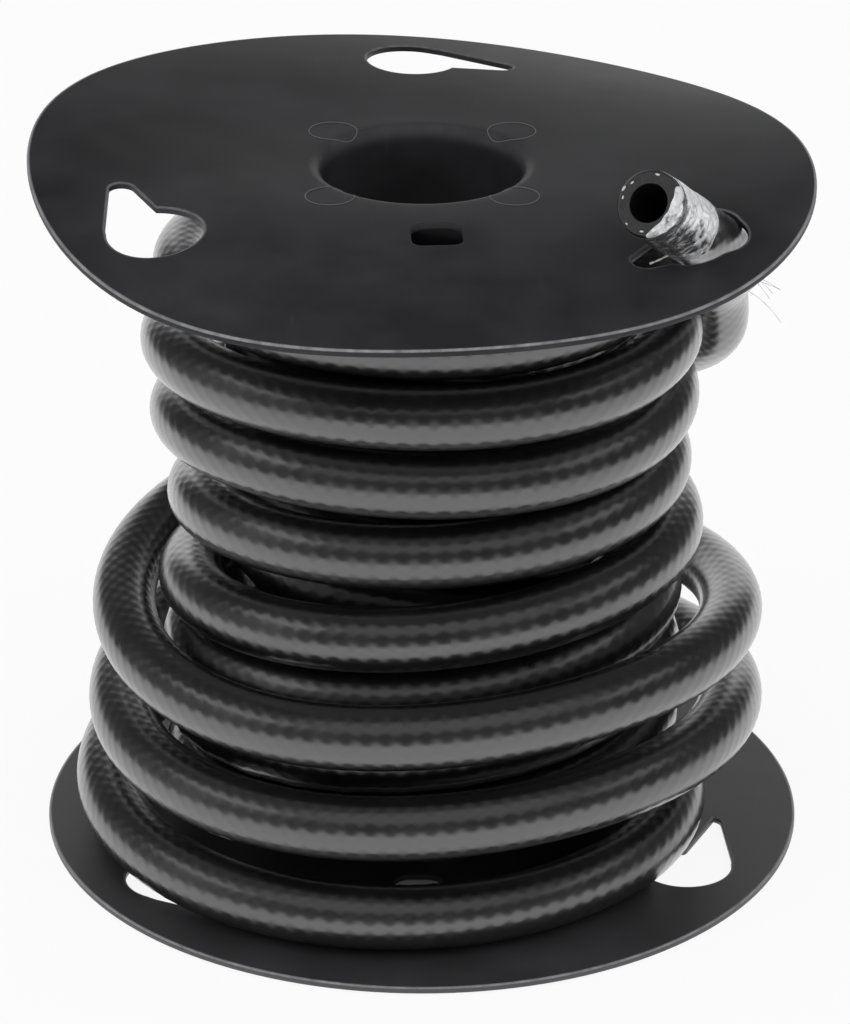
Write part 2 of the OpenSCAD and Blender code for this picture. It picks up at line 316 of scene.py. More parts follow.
@dataclass(frozen=True)
class MouldedPlastic(Finish):
    """Injection-moulded polypropylene: an even satin surface with a faint flow mottle and fine scuffs.

    Where the piece's attribute says so, its corners carry a painted highlight: they are painted lighter.
    """

    name: str = "moulded_polypropylene"
    colour: str = "#29292b"
    scuffed: str = "#47474a"
    burnished: str = "#98989b"
    roughness: float = 0.42
    specular: float = 0.22
    mottle_mm: float = 38.0
    wave_mm: float = 24.0
    grain_mm: float = 0.55

    def surface(self, add: Adder, place: NodeSocket) -> Node:
        """Lay out the satin surface with its mottle, scuffs and a painted highlight on its corners.

        Args:
            add: Adds a node to the material's tree.
            place: The point in the reel's frame.

        Returns:
            The shader.
        """
        mottle = add("TexNoise", (place, 1000 / self.mottle_mm, 4.0, 0.55))
        tone = add("MapRange", (mottle, 0.36, 0.66, 0.0, 0.42))
        # Rub marks: long thin streaks, sparse, where the reel was handled
        streaks = add("Mapping", {"Vector": place, "Rotation": (0.0, 0.0, 0.5), "Scale": (260.0, 34.0, 60.0)})
        rubbed = add("TexNoise", (streaks, 1.0, 3.0, 0.6))
        rub = add("MapRange", (rubbed, 0.66, 0.86, 0.0, 0.35))
        wear = add("Math", (tone, rub), operation="ADD", use_clamp=True)
        plain = add("Mix", (wear, linear(self.colour), linear(self.scuffed)), data_type="RGBA")
        # Painted highlight: moulded corners are painted lighter, unevenly along their length
        corner = add("Attribute", attribute_name="corner").outputs["Fac"]
        uneven = add("MapRange", (rubbed, 0.3, 0.7, 0.45, 1.0))
        edge_highlight = add("Math", (corner, uneven), operation="MULTIPLY", use_clamp=True)
        colour = add("Mix", (edge_highlight, plain, linear(self.burnished)), data_type="RGBA")
        gloss = add("MapRange", (mottle, 0.3, 0.7, self.roughness - 0.04, self.roughness + 0.05))
        grain = add("TexNoise", (place, 1000 / self.grain_mm, 2.0))
        wave = add("TexNoise", (place, 1000 / self.wave_mm, 2.0))
        rough = add("Bump", {"Height": grain, "Strength": 0.35, "Distance": 0.00003})
        bump = add("Bump", {"Height": wave, "Strength": 0.5, "Distance": 0.0003, "Normal": rough})
        return add("BsdfPrincipled", {"Base Color": colour, "Roughness": gloss, "IOR": 1.49,
                                      "Specular IOR Level": self.specular, "Normal": bump})


@dataclass(frozen=True)
class BraidedRubber(Finish):
    """Extruded nitrile rubber cover over a yarn braid: satin black, with rows of small pillows."""

    name: str = "extruded_rubber_braid"
    colour: str = "#0f0f10"
    dusty: str = "#2a2a2c"
    roughness: float = 0.31
    pitch: float = 5.3 * MM
    count: int = 12
    relief: float = 0.14 * MM
    wander_mm: float = 14.0
    wander: float = 2.2
    fine_mm: float = 0.9
    dust_mm: float = 22.0

    def surface(self, add: Adder, place: NodeSocket) -> Node:
        """Lay out the cover, whose braid follows the piece's own braid attribute.

        Args:
            add: Adds a node to the material's tree.
            place: The point in the reel's frame.

        Returns:
            The shader.
        """
        braid = add("SeparateXYZ", (add("Attribute", attribute_name="braid").outputs["Vector"],)).outputs
        turn = add("Math", (braid[1], braid[0]), operation="ARCTAN2")
        # The braid isn't drawn perfectly even, so its rows wander by a fraction of a millimetre
        wander = add("TexNoise", (place, 1000 / self.wander_mm, 1.0))
        shift = add("Math", (wander, self.wander), operation="MULTIPLY")
        row = add("Math", (turn, float(self.count), shift), operation="MULTIPLY_ADD")
        step = add("Math", (braid[2], 2 * math.pi / self.pitch), operation="MULTIPLY")
        waves = [add("Math", (angle,), operation="COSINE") for angle in (row, step)]
        pillow = add("Math", waves, operation="MULTIPLY")
        # Fine cover texture and dust, from the extruder's lip and from handling
        fine = add("TexNoise", (place, 1000 / self.fine_mm, 3.0, 0.6))
        dust = add("TexNoise", (place, 1000 / self.dust_mm, 5.0, 0.65))
        film = add("MapRange", (dust, 0.35, 0.8, 0.0, 0.3))
        # Painted light on the braid: the pillows' crowns are painted lighter as a highlight and the hollows
        # darker as shade
        crown = add("MapRange", (pillow, -0.6, 1.0, -0.05, 0.1))
        tone = add("Math", (film, crown), operation="ADD", use_clamp=True)
        colour = add("Mix", (tone, linear(self.colour), linear(self.dusty)), data_type="RGBA")
        gloss = add("MapRange", (dust, 0.3, 0.7, self.roughness - 0.05, self.roughness + 0.08))
        cover = add("Bump", {"Height": fine, "Strength": 0.4, "Distance": 0.00006})
        bump = add("Bump", {"Height": pillow, "Strength": 1.0, "Distance": self.relief / 2, "Normal": cover})
        return add("BsdfPrincipled", {
            "Base Color": colour, "Roughness": gloss, "IOR": 1.6, "Specular IOR Level": 1.0, "Normal": bump,
            "Coat Weight": 1.0, "Coat Roughness": 0.22, "Coat IOR": 1.55})


@dataclass(frozen=True)
class CutRubber(Finish):
    """Knife-cut rubber: matt, with fine drag lines from the blade."""

    name: str = "knife_cut_rubber"
    colour: str = "#232324"
    dragged: str = "#48484a"
    drag_mm: float = 0.5

    def surface(self, add: Adder, place: NodeSocket) -> Node:
        """Lay out the matt cut with its drag lines.

        Args:
            add: Adds a node to the material's tree.
            place: The point in the reel's frame.

        Returns:
            The shader.
        """
        stretch = add("Mapping", {"Vector": place, "Scale": (1.0, 0.2, 0.5)})
        drag = add("TexNoise", (stretch, 1000 / self.drag_mm, 3.0))
        colour = add("Mix", (drag, linear(self.colour), linear(self.dragged)), data_type="RGBA")
        bump = add("Bump", {"Height": drag, "Strength": 0.6, "Distance": 0.0002})
        return add("BsdfPrincipled", {"Base Color": colour, "Roughness": 0.55,
                                      "Specular IOR Level": 0.3, "Normal": bump})


@dataclass(frozen=True)
class BoreRubber(Finish):
    """Extruded rubber lining of the bore: black, and dull with powder."""

    name: str = "extruded_rubber_bore"
    colour: str = "#0b0b0c"
    powdered: str = "#161617"
    powder_mm: float = 3.0

    def surface(self, add: Adder, place: NodeSocket) -> Node:
        """Lay out the dull lining.

        Args:
            add: Adds a node to the material's tree.
            place: The point in the reel's frame.

        Returns:
            The shader.
        """
        powder = add("TexNoise", (place, 1000 / self.powder_mm, 3.0))
        colour = add("Mix", (powder, linear(self.colour), linear(self.powdered)), data_type="RGBA")
        return add("BsdfPrincipled", {"Base Color": colour, "Roughness": 0.7, "Specular IOR Level": 0.15})


@dataclass(frozen=True)
class FilmTape(Finish):
    """Clear film wrapped by hand over black rubber: silvery where air lies under it, dark where it sticks."""

    name: str = "wrapped_film_tape"
    colour: str = "#f0f1f3"
    stuck_down: str = "#1d1d1f"
    roughness: float = 0.2
    cloud_mm: float = 9.0
    crease_mm: float = 5.0
    patch_mm: float = 3.6

    def surface(self, add: Adder, place: NodeSocket) -> Node:
        """Lay out the film, dark where it sticks in random patches and where the piece's attribute paints
        shade on it.

        Args:
            add: Adds a node to the material's tree.
            place: The point in the reel's frame.

        Returns:
            The shader.
        """
        cloud = add("TexNoise", (place, 1000 / self.cloud_mm, 4.0, 0.6))
        crease = add("TexVoronoi", {"Vector": place, "Scale": 1000 / self.crease_mm},
                     feature="DISTANCE_TO_EDGE")
        sharp = add("MapRange", (crease.outputs["Distance"], 0.0, 0.18, 0.0, 1.0))
        # The film is painted dark where it sticks in random patches, with painted shade on its lower side and
        # a painted shadow in a band behind the cut face; its upper side keeps a painted highlight
        patch = add("TexNoise", (place, 1000 / self.patch_mm, 5.0, 0.62))
        tight = add("Attribute", attribute_name="tight").outputs["Fac"]
        leaning = add("Math", (tight, 0.24, patch), operation="MULTIPLY_ADD")
        stuck_and_shade_share = add("MapRange", (leaning, 0.4, 0.58, 0.0, 0.92))
        colour = add("Mix", (stuck_and_shade_share, linear(self.colour), linear(self.stuck_down)), data_type="RGBA")
        gloss = add("MapRange", (cloud, 0.35, 0.7, self.roughness - 0.06, self.roughness + 0.15))
        slack = add("Bump", {"Height": cloud, "Strength": 0.6, "Distance": 0.0012})
        bump = add("Bump", {"Height": sharp, "Strength": 0.35, "Distance": 0.0004, "Normal": slack})
        return add("BsdfPrincipled", {"Base Color": colour, "Roughness": gloss, "Metallic": 0.25, "IOR": 1.5,
                                      "Specular IOR Level": 0.9, "Normal": bump})


@dataclass(frozen=True)
class PolyesterYarn(Finish):
    """Twisted polyester yarn of the braid: pale, soft and a little fuzzy."""

    name: str = "twisted_polyester_yarn"
    colour: str = "#e6e4df"
    shaded: str = "#b9b6b0"
    fuzz_mm: float = 0.35

    def surface(self, add: Adder, place: NodeSocket) -> Node:
        """Lay out the soft yarn.

        Args:
            add: Adds a node to the material's tree.
            place: The point in the reel's frame.

        Returns:
            The shader.
        """
        fuzz = add("TexNoise", (place, 1000 / self.fuzz_mm, 2.0))
        colour = add("Mix", (fuzz, linear(self.colour), linear(self.shaded)), data_type="RGBA")
        bump = add("Bump", {"Height": fuzz, "Strength": 0.5, "Distance": 0.0001})
        return add("BsdfPrincipled", {"Base Color": colour, "Roughness": 0.75,
                                      "Sheen Weight": 0.2, "Normal": bump})


# ---------------------------------------------------------------- outlines and plates


def arc_points(centre: Any, radius: float, start: float, sweep: float, steps: int) -> np.ndarray:
    """Points on an arc, both ends included.

    Args:
        centre: Its centre.
        radius: Its radius.
        start: Direction of the first point, in degrees.
        sweep: Turn from the first to the last point, in degrees.
        steps: Number of chords.

    Returns:
        The points.
    """
    return np.asarray(centre) + polar(radius, start + sweep * np.arange(steps + 1) / steps)


def taper_points(taper: Taper, steps: int = 14) -> np.ndarray:
    """Outline round two circles and the flanks between them.

    Args:
        taper: The circles.
        steps: Chords on each round end.

    Returns:
        The outline's points, counterclockwise.
    """
    a, ra, b, rb = taper
    x, y = b[0] - a[0], b[1] - a[1]
    heading, flank = math.degrees(math.atan2(y, x)), math.degrees(math.acos((ra - rb) / math.hypot(x, y)))
    return np.vstack([arc_points(a, ra, heading + flank, 360 - 2 * flank, steps),
                      arc_points(b, rb, heading - flank, 2 * flank, steps)])


def inside(points: np.ndarray, outline: np.ndarray) -> np.ndarray:
    """Tell which points lie inside a closed outline.

    Args:
        points: Points to test, one a row.
        outline: The outline's points.

    Returns:
        True for each point inside.
    """
    x, y = points[:, 0][:, None], points[:, 1][:, None]
    a, b = outline, np.roll(outline, -1, axis=0)
    crosses = (a[:, 1] > y) != (b[:, 1] > y)
    rise = np.where(b[:, 1] == a[:, 1], 1e-12, b[:, 1] - a[:, 1])
    at = a[:, 0] + (y - a[:, 1]) * (b[:, 0] - a[:, 0]) / rise
    return (crosses & (x < at)).sum(axis=1) % 2 == 1


def on_plate(points: np.ndarray, borders: list[np.ndarray]) -> np.ndarray:
    """Tell which points lie on a plate.

    Args:
        points: Points to test, one a row.
        borders: The plate's outer border, and then those of its openings.

    Returns:
        True for each point on it.
    """
    clear = inside(points, borders[0])
    for border in borders[1:]:
        clear &= ~inside(points, border)
    return clear


def triangulate(loops: list[np.ndarray], extra: Any = ()) -> tuple[np.ndarray, np.ndarray, list[list[int]]]:
    """Triangulate the plane between closed loops.

    Args:
        loops: Closed outlines, as constraints.
        extra: Further points inside.

    Returns:
        The points, the triangles, and for each point the numbers of the given points that it stands for.
    """
    points: list[Vector] = []
    edges: list[tuple[int, int]] = []
    for loop in loops:
        first, n = len(points), len(loop)
        points += [Vector(tuple(map(float, p))) for p in loop]
        edges += [(first + k, first + (k + 1) % n) for k in range(n)]
    points += [Vector(tuple(map(float, p))) for p in extra]
    flat, _, faces, given, _, _ = delaunay_2d_cdt(points, edges, [], 0, 1e-5)
    return np.array([tuple(p) for p in flat]), np.array(faces), given


def chain(edges: set[tuple[int, int]]) -> list[list[int]]:
    """Join directed edges into closed loops.

    Args:
        edges: Pairs of point numbers, from and to.

    Returns:
        The loops' point numbers.
    """
    onward, loops = dict(edges), []
    while onward:
        start, here = next(iter(onward.items()))
        loop = [start]
        del onward[start]
        while here != start:
            loop.append(here)
            here = onward.pop(here)
        loops.append(loop)
    return loops


@dataclass
class Cutting:
    """One opening in a plate, with the tongues that are left standing in it."""

    outlines: list[np.ndarray]
    kept: list[np.ndarray] = field(default_factory=list)
    margin: float = 4.0

    def holds(self, points: np.ndarray) -> np.ndarray:
        """Tell which points are cut away.

        Args:
            points: Points to test, one a row.

        Returns:
            True for each point cut away.
        """
        gone = np.any([inside(points, outline) for outline in self.outlines], axis=0)
        for outline in self.kept:
            gone &= ~inside(points, outline)
        return gone

    def loops(self) -> list[np.ndarray]:
        """The opening's outlines, with the plate on the left of each.

        Returns:
            The outlines, each a closed loop of points.
        """
        pieces = self.outlines + self.kept
        everything = np.vstack(pieces)
        low, high = everything.min(0) - self.margin, everything.max(0) + self.margin
        patch = np.array([low, (high[0], low[1]), high, (low[0], high[1])])
        flat, faces, _ = triangulate([patch] + pieces)
        middle = flat[faces].mean(axis=1)
        solid = faces[~self.holds(middle) & inside(middle, patch)]
        sides = {(int(face[k]), int(face[(k + 1) % 3])) for face in solid for k in range(3)}
        edge = {(a, b) for a, b in sides if (b, a) not in sides}
        corners = {int(np.argmin(np.linalg.norm(flat - c, axis=1))) for c in patch}
        return [thinned(flat[loop]) for loop in chain(edge) if not corners & set(loop)]


def thinned(loop: np.ndarray, least: float = 0.22) -> np.ndarray:
    """Drop points of a closed loop that lie close to the one kept before.

    Args:
        loop: The loop's points.
        least: The least distance between points.

    Returns:
        The kept points.
    """
    kept = [loop[0]]
    for point in loop[1:]:
        if np.linalg.norm(point - kept[-1]) > least:
            kept.append(point)
    if np.linalg.norm(kept[0] - kept[-1]) < least:
        kept.pop()
    return np.array(kept)


def drawn_in(loop: np.ndarray, inset: float) -> np.ndarray:
    """Move a closed loop to its left by a distance.

    Args:
        loop: The loop's points, the plate on its left.
        inset: How far it moves into the plate.

    Returns:
        The moved points.
    """
    before, after = loop - np.roll(loop, 1, axis=0), np.roll(loop, -1, axis=0) - loop
    before /= np.linalg.norm(before, axis=1)[:, None]
    after /= np.linalg.norm(after, axis=1)[:, None]
    left = np.stack([-(before + after)[:, 1], (before + after)[:, 0]], -1)
    size = np.linalg.norm(left, axis=1)
    left /= size[:, None]
    return loop + left * (inset / np.clip(size / 2, 0.6, 1.0))[:, None]


@dataclass
class ReelSizes:
    """Sizes that the reel's pieces share, in millimetres and degrees."""

    flange_r: float = 114.5
    height: float = 211.5
    thick: float = 2.0
    bore_r: float = 29.0
    lip: float = 4.5
    sleeve_len: float = 34.0
    sleeve_r: float = 31.5
    spigot_r: float = 36.6
    spigot_in: float = 34.4
    spigot_end: float = 22.0
    hub_under: float = 3.5
    drum_r: float = 39.5
    hub_clear: float = 0.5
    # The top flange's droop and the waves of its rim: height, growth outwards, lobes, direction of a crest
    waves: tuple[tuple[float, float, int, float], ...] = (
        (-3.8, 2, 0, 0), (7.0, 1.5, 1, 122), (4.4, 2, 2, -16), (1.5, 3, 3, 34), (1.3, 3, 4, 3))
    eye_radius: float = 89.0
    top_eye_dir: float = 92.1
    bottom_eye_dir: float = 92.9
    hose_dia: float = 19.05
    hose_bore: float = 11.1
    end_slope: float = 33.0
    end_heading: float = -119.0
    end_len: float = 38.0
    # The hose passes the last eye a little outwards, clockwise and below the flat hub
    passage_out: float = 1.4
    passage_turn: float = -2.7
    passage_low: float = 4.2
    passage_clear: float = 0.8

    def warp(self, x: Any, y: Any) -> Any:
        """Height of the top flange over its flat hub.

        Args:
            x: Position to the right.
            y: Position to the back.

        Returns:
            The height, negative where the flange droops.
        """
        flat = self.drum_r + self.hub_clear
        t = np.clip((np.hypot(x, y) - flat) / (self.flange_r - flat), 0, None)
        a = np.degrees(np.arctan2(y, x))
        return sum(high * t**growth * np.cos(np.radians(lobes * (a - crest)))
                   for high, growth, lobes, crest in self.waves)

    def end_axis(self) -> np.ndarray:
        """Direction of the hose's straight end, towards the cut."""
        slope = math.radians(self.end_slope)
        return np.append(math.cos(slope) * polar(1.0, self.end_heading), math.sin(slope))

    def passage(self) -> np.ndarray:
        """Point of the hose's axis beside the last eye of the top flange."""
        beside = polar(self.eye_radius + self.passage_out, self.top_eye_dir - 120 + self.passage_turn)
        return np.append(beside, self.height - self.passage_low)

    def cut_face(self) -> np.ndarray:
        """Middle of the hose's cut face."""
        return self.passage() + self.end_axis() * self.end_len


@dataclass
class Flange:
    """A moulded flange with its hub, end holes and drive hole, all one moulding. Sizes are in millimetres."""

    side: Side
    form: HoleForm
    finish: MouldedPlastic
    sizes: ReelSizes = field(default_factory=ReelSizes)
    drive_dir: float = 274.3
    segments: int = 160
    round_mm: float = 0.5
    support_mm: float = 0.45
    grid_mm: float = 4.6
    # An end hole's outlines, from the middle of its eye
    eye_r: float = 13.8
    throat: Taper = ((27.2, -4.4), 3.6, (4.7, 2.9), 9.3)
    slit: Taper = ((26.5, -13.2), 1.5, (9.0, -9.4), 2.4)
    tongue: Taper = ((30.0, -8.0), 3.6, (9.0, -5.2), 1.7)
    # The drive hole: distance from the axis, half its depth and width, corners towards the rim and the hub
    drive_out: float = 53.8
    drive_deep: float = 6.7
    drive_half: float = 7.2
    drive_front: float = 3.0
    drive_back: float = 5.0
    ribs: int = 6
    rib_half: float = 0.8
    # How much painted highlight lightens the rim, the end holes' edges and the lip of the bore
    worn_rim: float = 1.0
    worn_hole: float = 0.45
    worn_lip: float = 0.3
    worn_from: float = 70.0
    corners: list[tuple[int, float]] = field(default_factory=list)

    def end_hole(self, eye_dir: float) -> Cutting:
        """One end hole: a round eye with a tapered throat beside it.

        Args:
            eye_dir: Direction of the eye from the reel's axis.

        Returns:
            The opening in the plate.
        """
        hand = self.side.value

        def placed(loop: np.ndarray) -> np.ndarray:
            """Move an outline from the eye's own place to the flange."""
            return turned(loop * (hand, 1) + (0, self.sizes.eye_radius), eye_dir - 90)[::hand]

        eye, throat = placed(arc_points((0, 0), self.eye_r, 0, 354, 59)), placed(taper_points(self.throat))
        if self.form is HoleForm.PLAIN:
            return Cutting([eye, throat])
        return Cutting([eye, throat, placed(taper_points(self.slit))], [placed(taper_points(self.tongue))])

    def drive_hole(self) -> Cutting:
        """The drive hole, straight towards the rim and rounder towards the hub.

        Returns:
            The opening in the plate.
        """
        far, near = self.drive_out + self.drive_deep, self.drive_out - self.drive_deep
        front, back, half = self.drive_front, self.drive_back, self.drive_half
        corners = [(far - front, half - front, front), (near + back, half - back, back),
                   (near + back, back - half, back), (far - front, front - half, front)]
        loop = np.vstack([arc_points((x, y), r, 90 * k, 90, 8) for k, (x, y, r) in enumerate(corners)])
        return Cutting([turned(loop, self.drive_dir)])

    def hose_passage(self) -> np.ndarray:
        """Outline of the slanting way that the hose's straight end takes through the top flange.

        Returns:
            The outline's points.
        """
        s, axis, start = self.sizes, self.sizes.end_axis(), self.sizes.passage()
        surface, radius = s.height + s.warp(start[0], start[1]), s.hose_dia / 2 + s.passage_clear
        oval = arc_points((0, 0), 1.0, 0, 354, 59) * (radius / axis[2], radius)
        return turned(oval, s.end_heading) + (start + axis * (surface - start[2]) / axis[2])[:2]

    def cuttings(self) -> list[Cutting]:
        """All openings in the plate.

        Returns:
            The end holes and the drive hole.
        """
        top = self.side is Side.TOP
        first = self.sizes.top_eye_dir if top else self.sizes.bottom_eye_dir
        holes = [self.end_hole(first - 120 * k) for k in range(3)]
        if top:
            holes[1].outlines.append(self.hose_passage())
        return holes + [self.drive_hole()]

    def edge_rows(self) -> list[tuple[float, float]]:
        """Rounded section of an edge from above to below, as how far inside it lies and its height.

        Returns:
            The distance inside and the height of each row.
        """
        b = self.round_mm
        bow = [(b * (1 - math.sin(a)), -b * (1 - math.cos(a))) for a in np.radians([0, 30, 60, 90])]
        upper = [(b + self.support_mm, 0.0)] + bow
        return upper + [(inset, -self.sizes.thick - z) for inset, z in upper[::-1]]

    def plate(self) -> tuple[list[tuple[float, float, float]], list[list[int]]]:
        """The plate with rounded edges and its hub, with the outer face up at height 0.

        Returns:
            The points in millimetres and the faces.
        """
        s, points, faces = self.sizes, [], []
        turn = 360 * np.arange(self.segments) / self.segments
        rim, hub = polar(s.flange_r, turn), polar(s.spigot_r, turn)[::-1]
        outer_rows = range(1, 4) if self.side is Side.TOP else range(6, 9)
        rings, borders = [], []
        for loop in [rim, hub] + [loop for cutting in self.cuttings() for loop in cutting.loops()]:
            rows = [(0.0, 0.0), (0.0, -s.thick)] if loop is hub else self.edge_rows()
            n, starts = len(loop), []
            for inset, z in rows:
                starts.append(len(points))
                points += [(x, y, z) for x, y in drawn_in(loop, inset)]
            if loop is not hub:
                faces += wall(starts, n)
                # The upper rounded rows of the rim and of the end holes get a painted highlight
                if np.linalg.norm(loop, axis=1).max() > self.worn_from:
                    highlight = self.worn_rim if loop is rim else self.worn_hole
                    self.corners += [(starts[row] + k, highlight) for row in outer_rows for k in range(n)]
            rings.append((starts[0], starts[-1]))
            borders.append(drawn_in(loop, rows[0][0]))
        flat, triangles, given = triangulate(borders, self.inner_grid(borders))
        solid = triangles[on_plate(flat[triangles].mean(axis=1), borders)]
        firsts = np.cumsum([0] + [len(border) for border in borders])
        for sheet, (z, way) in enumerate(((0.0, 1), (-s.thick, -1))):
            number = []
            for spot, source in zip(flat, given):
                owner = int(np.searchsorted(firsts, source[0], side="right")) - 1 if source else len(borders)
                if owner < len(borders):
                    number.append(rings[owner][sheet] + source[0] - int(firsts[owner]))
                else:
                    number.append(len(points))
                    points.append((*spot, z))
            faces += [[number[i] for i in face[::way]] for face in solid]
        return points, faces + self.hub_faces(points, *rings[1]) + self.rib_faces(points)

    def inner_grid(self, borders: list[np.ndarray]) -> np.ndarray:
        """Points spread over the plate, clear of its borders.

        Args:
            borders: The plate's outer border, and then those of its openings.

        Returns:
            The points.
        """
        spread, step = [], self.grid_mm
        radius, row = self.sizes.spigot_r + step, 0
        while radius < self.sizes.flange_r - step / 2:
            count = int(2 * math.pi * radius / step)
            spread.append(polar(radius, 360 * (np.arange(count) + 0.5 * (row % 2)) / count))
            radius, row = radius + step * 0.87, row + 1
        grid = np.vstack(spread)
        clear = on_plate(grid, borders)
        for border in borders:
            clear &= np.linalg.norm(grid[:, None] - border[None], axis=2).min(axis=1) > step * 0.42
        return grid[clear]

    def hub_faces(self, points: list[Any], top_ring: int, low_ring: int) -> list[list[int]]:
        """Turn the hub's section round the axis, joined to the plate's inner edges.

        Args:
            points: The plate's points, to which the hub's are added.
            top_ring: Number of the first point of the plate's inner edge above.
            low_ring: The same below.

        Returns:
            The hub's faces.
        """
        s, n, bend = self.sizes, self.segments, 0.5
        turn = (360 * np.arange(n) / n)[::-1]
        lip = [(s.bore_r + s.lip * (1 - math.sin(a)), s.lip * (math.cos(a) - 1))
               for a in np.radians(range(0, 91, 9))]
        section = [(s.spigot_r - 0.6, 0.0)] + lip + [
            (s.bore_r, -s.lip - 1.0), (s.bore_r, -s.sleeve_len + 1.2), (s.bore_r, -s.sleeve_len + bend),
            (s.bore_r + bend, -s.sleeve_len), (s.sleeve_r - bend, -s.sleeve_len),
            (s.sleeve_r, -s.sleeve_len + bend), (s.sleeve_r, -s.hub_under - 0.8),
            (s.sleeve_r + 0.8, -s.hub_under), (s.spigot_in - 0.8, -s.hub_under),
            (s.spigot_in, -s.hub_under - 0.8), (s.spigot_in, -s.spigot_end + 0.4),
            (s.spigot_in + 0.4, -s.spigot_end),
            (s.spigot_r - 0.6, -s.spigot_end), (s.spigot_r, -s.spigot_end + 0.6),
            (s.spigot_r, -s.thick - 0.4)]
        starts = [top_ring]
        for radius, z in section:
            starts.append(len(points))
            points += [(x, y, z) for x, y in polar(radius, turn)]
        return wall(starts + [low_ring], n)

    def rib_faces(self, points: list[Any]) -> list[list[int]]:
        """Ribs between the sleeve and the spigot, as closed blocks.

        Args:
            points: The points so far, to which the ribs' are added.

        Returns:
            The ribs' faces.
        """
        s, half, faces = self.sizes, self.rib_half, []
        near, far = s.sleeve_r - 0.3, s.spigot_in + 0.3
        lit_foot = np.array([(near, -half), (far, -half), (far, half), (near, half)])
        for k in range(self.ribs):
            faces += rod(len(points), 2, 4)
            block = turned(lit_foot, 360 * k / self.ribs)
            points += [(x, y, z) for z in (-s.spigot_end + 1, -s.hub_under + 0.4) for x, y in block]
        return faces

    def build(self, replaced: str, slot: str) -> Object:
        """Build and dress the flange.

        Args:
            replaced: The CAD node that it stands for.
            slot: The record's material slot; not used.

        Returns:
            The flange.
        """
        points, faces = self.plate()
        place = np.array(points)
        reach = np.hypot(place[:, 0], place[:, 1])
        # Painted highlight: a halo on the bore's lip, and the marked corners
        share = np.clip((reach - self.sizes.bore_r) / self.sizes.lip, 0, 1)
        highlight = np.where(place[:, 2] > -self.sizes.lip - 0.1, self.worn_lip * share * (1 - share), 0)
        for number, amount in self.corners:
            highlight[number] += amount
        if self.side is Side.TOP:
            place[:, 2] += self.sizes.height + self.sizes.warp(place[:, 0], place[:, 1])
        else:
            place[:, 2] *= -1
            faces = [face[::-1] for face in faces]
        piece = new_piece(f"{self.side.name.lower()}_flange_moulding", mesh_from(place * MM, faces))
        corner = piece.data.attributes.new("corner", "FLOAT", "POINT")
        corner.data.foreach_set("value", highlight.astype(np.float32))
        piece.data.materials.append(self.finish.material())
        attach(piece, "root")
        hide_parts(replaced)
        return piece


@dataclass
class MouldMarks:
    """Ejector ring marks beside the arbor hole, as fine raised lines that follow the surface."""

    finish: MouldedPlastic
    sizes: ReelSizes = field(default_factory=ReelSizes)
    ring_place: float = 37.3
    ring_r: float = 7.1
    line_mm: float = 0.3
    count: int = 4
    above_mm: float = 15.0

    def build(self, carrier: Object) -> Object:
        """Set the rings round the axis and lay them onto a flange.

        Args:
            carrier: The flange that they lie on.

        Returns:
            The marks.
        """
        growth = Growth("ring_marks", {
            "Ring Radius": self.ring_r * MM, "Place Radius": self.ring_place * MM, "Count": self.count,
            "Line Radius": self.line_mm * MM / 2, "Drop From": (self.sizes.height + self.above_mm) * MM,
            "Carrier": carrier, "Finish": self.finish.material()})
        add, given = growth.add, growth.given
        spots = add("MeshCircle", {"Vertices": given["Count"], "Radius": given["Place Radius"]})
        turned_spots = add("Transform", {"Geometry": spots, "Rotation": (0.0, 0.0, math.radians(45))})
        ring = add("CurvePrimitiveCircle", {"Resolution": 72, "Radius": given["Ring Radius"]})
        set_out = add("InstanceOnPoints", {"Points": turned_spots, "Instance": ring})
        real = add("RealizeInstances", (set_out,))
        east, north, _ = add("SeparateXYZ", (add("InputPosition"),)).outputs
        above = add("CombineXYZ", (east, north, given["Drop From"]))
        surface = add("ObjectInfo", {"Object": given["Carrier"]}).outputs["Geometry"]
        drop = add("Raycast", {"Target Geometry": surface, "Source Position": above,
                               "Ray Direction": (0.0, 0.0, -1.0), "Ray Length": 0.05}).outputs
        laid = add("SetPosition", {"Geometry": real, "Selection": drop["Is Hit"],
                                   "Position": drop["Hit Position"]})
        missed = add("BooleanMath", (drop["Is Hit"],), operation="NOT")
        kept = add("DeleteGeometry", {"Geometry": laid, "Selection": missed}, domain="POINT")
        wire = add("CurvePrimitiveCircle", {"Resolution": 6, "Radius": given["Line Radius"]})
        line = add("CurveToMesh", {"Curve": kept, "Profile Curve": wire, "Fill Caps": True})
        piece = growth.run(new_piece("ring_marks", bpy.data.meshes.new("ring_marks")), line)
        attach(piece, "root")
        return piece


# ---------------------------------------------------------------- hose


